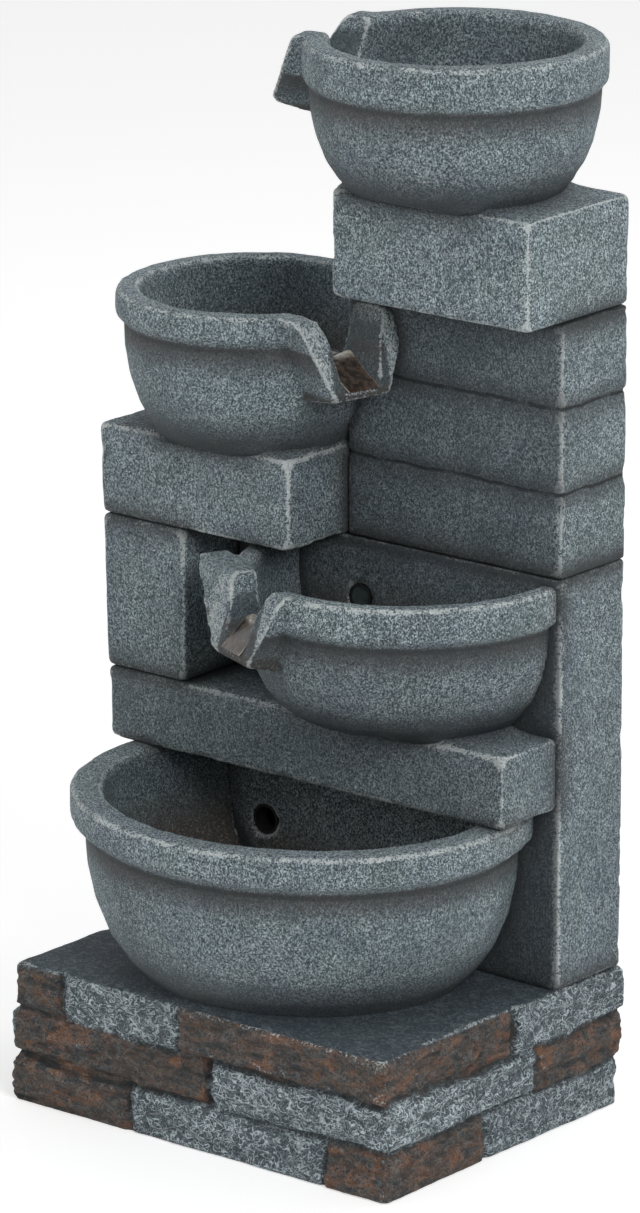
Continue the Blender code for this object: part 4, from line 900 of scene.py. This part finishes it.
PLAIN = {
    "dark_plastic": Plain("24282B", "31363A", 20, 0.55),
    "black_plastic": Plain("131415", "1E2022", 14, 0.45),
    "steel": Plain("8C8F92", "B2B5B7", 6, 0.32, 0.03, metallic=1.0),
    "rubber": Plain("161616", "232323", 9, 0.85),
    "lens": Plain("30383B", "4A5456", 8, 0.2, 0.05, alpha=0.85),
    "orange_plastic": Plain("A84A12", "C25C1E", 10, 0.45),
    "magnet": Plain("2C2A29", "3A3837", 5, 0.5),
    "ceramic": Plain("C9C8C2", "DEDDD8", 4, 0.2, 0.02),
    "hose": Plain("1E2022", "2B2E30", 12, 0.6),
}


def plain_look(name, plain):
    look = Look(name, plain.roughness)
    blot = look.noise(plain.size, 3)
    fine = look.noise(plain.size / 9, 2)
    look.shader.inputs["Metallic"].default_value = plain.metallic
    look.shader.inputs["Alpha"].default_value = plain.alpha
    colour = look.mix(look.ramp(blot, 0.3, 0.7), rgb(plain.dark), rgb(plain.light))
    sheen = look.ramp(fine, 0.2, 0.8, plain.roughness - 0.07, plain.roughness + 0.07)
    return look.finish(colour, sheen, look.bump(look.math("ADD", look.product(blot, 0.5), fine), plain.depth))


PLAIN_LOOKS = {slot: plain_look(slot, plain) for slot, plain in PLAIN.items()}
SLOT_OF = {entry["node"]: entry["material_slot"] for entry in frame["record"]["subparts"]}
for node, obj in NODES.items():
    if SLOT_OF[node] in PLAIN_LOOKS:
        obj.data.materials.clear()
        obj.data.materials.append(PLAIN_LOOKS[SLOT_OF[node]])


# Floor, light and world

def lamp(name, place, aim, size, watts):
    """A soft rectangular lamp; its place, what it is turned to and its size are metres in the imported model."""
    data = bpy.data.lights.new(name, "AREA")
    data.shape = "RECTANGLE"
    data.size, data.size_y = size
    data.energy = watts
    obj = bpy.data.objects.new(name, data)
    bpy.context.scene.collection.objects.link(obj)
    obj.location = place
    obj.rotation_mode = "QUATERNION"
    obj.rotation_quaternion = (Vector(aim) - Vector(place)).to_track_quat("-Z", "Y")


WHITE = (1.0, 1.0, 1.0, 1.0)
FLOOR_SIZE = 30.0
FLOOR_COLOUR = (0.8, 0.8, 0.8, 1.0)
FLOOR_GLOW = 0.45           # makes the floor pale where it is seen, without lighting the fountain
WORLD_LIGHT, WORLD_SEEN = 0.45, 1.0


def pale_floor():
    bm = bmesh.new()
    bmesh.ops.create_grid(bm, x_segments=1, y_segments=1, size=FLOOR_SIZE)
    mesh = bpy.data.meshes.new("floor")
    bm.to_mesh(mesh)
    bm.free()
    look = Look("floor", 0.9)
    floor = obj_from(mesh, "floor")
    mesh.materials.append(look.finish(FLOOR_COLOUR))
    rays = look.node("ShaderNodeLightPath")
    seen = look.math("MAXIMUM", rays.outputs["Is Camera Ray"], rays.outputs["Is Glossy Ray"])
    look.feed(look.shader.inputs["Emission Color"], WHITE)
    look.feed(look.shader.inputs["Emission Strength"], look.product(seen, FLOOR_GLOW))


def white_world():
    """A white surrounding that is brighter to the eye than the light it gives."""
    surrounding = bpy.data.worlds.new("world")
    bpy.context.scene.world = surrounding
    surrounding.use_nodes = True
    tree = surrounding.node_tree
    rays = tree.nodes.new("ShaderNodeLightPath")
    seen = tree.nodes.new("ShaderNodeMath")
    seen.operation = "MAXIMUM"
    tree.links.new(rays.outputs["Is Camera Ray"], seen.inputs[0])
    tree.links.new(rays.outputs["Is Glossy Ray"], seen.inputs[1])
    level = tree.nodes.new("ShaderNodeMapRange")
    level.inputs["To Min"].default_value = WORLD_LIGHT
    level.inputs["To Max"].default_value = WORLD_SEEN
    tree.links.new(seen.outputs[0], level.inputs["Value"])
    back = tree.nodes["Background"]
    tree.links.new(level.outputs[0], back.inputs["Strength"])
    back.inputs["Color"].default_value = WHITE


pale_floor()
white_world()
lamp("key", (2.7, -1.35, 2.3), (0, 0, 0.45), (1.4, 1.4), 56)
lamp("fill", (-2.6, -1.8, 1.6), (0, 0, 0.4), (2.0, 2.0), 22)
lamp("back", (0.5, 2.6, 2.2), (0, 0, 0.5), (2.0, 1.5), 25)
bpy.context.scene.view_settings.view_transform = "Standard"
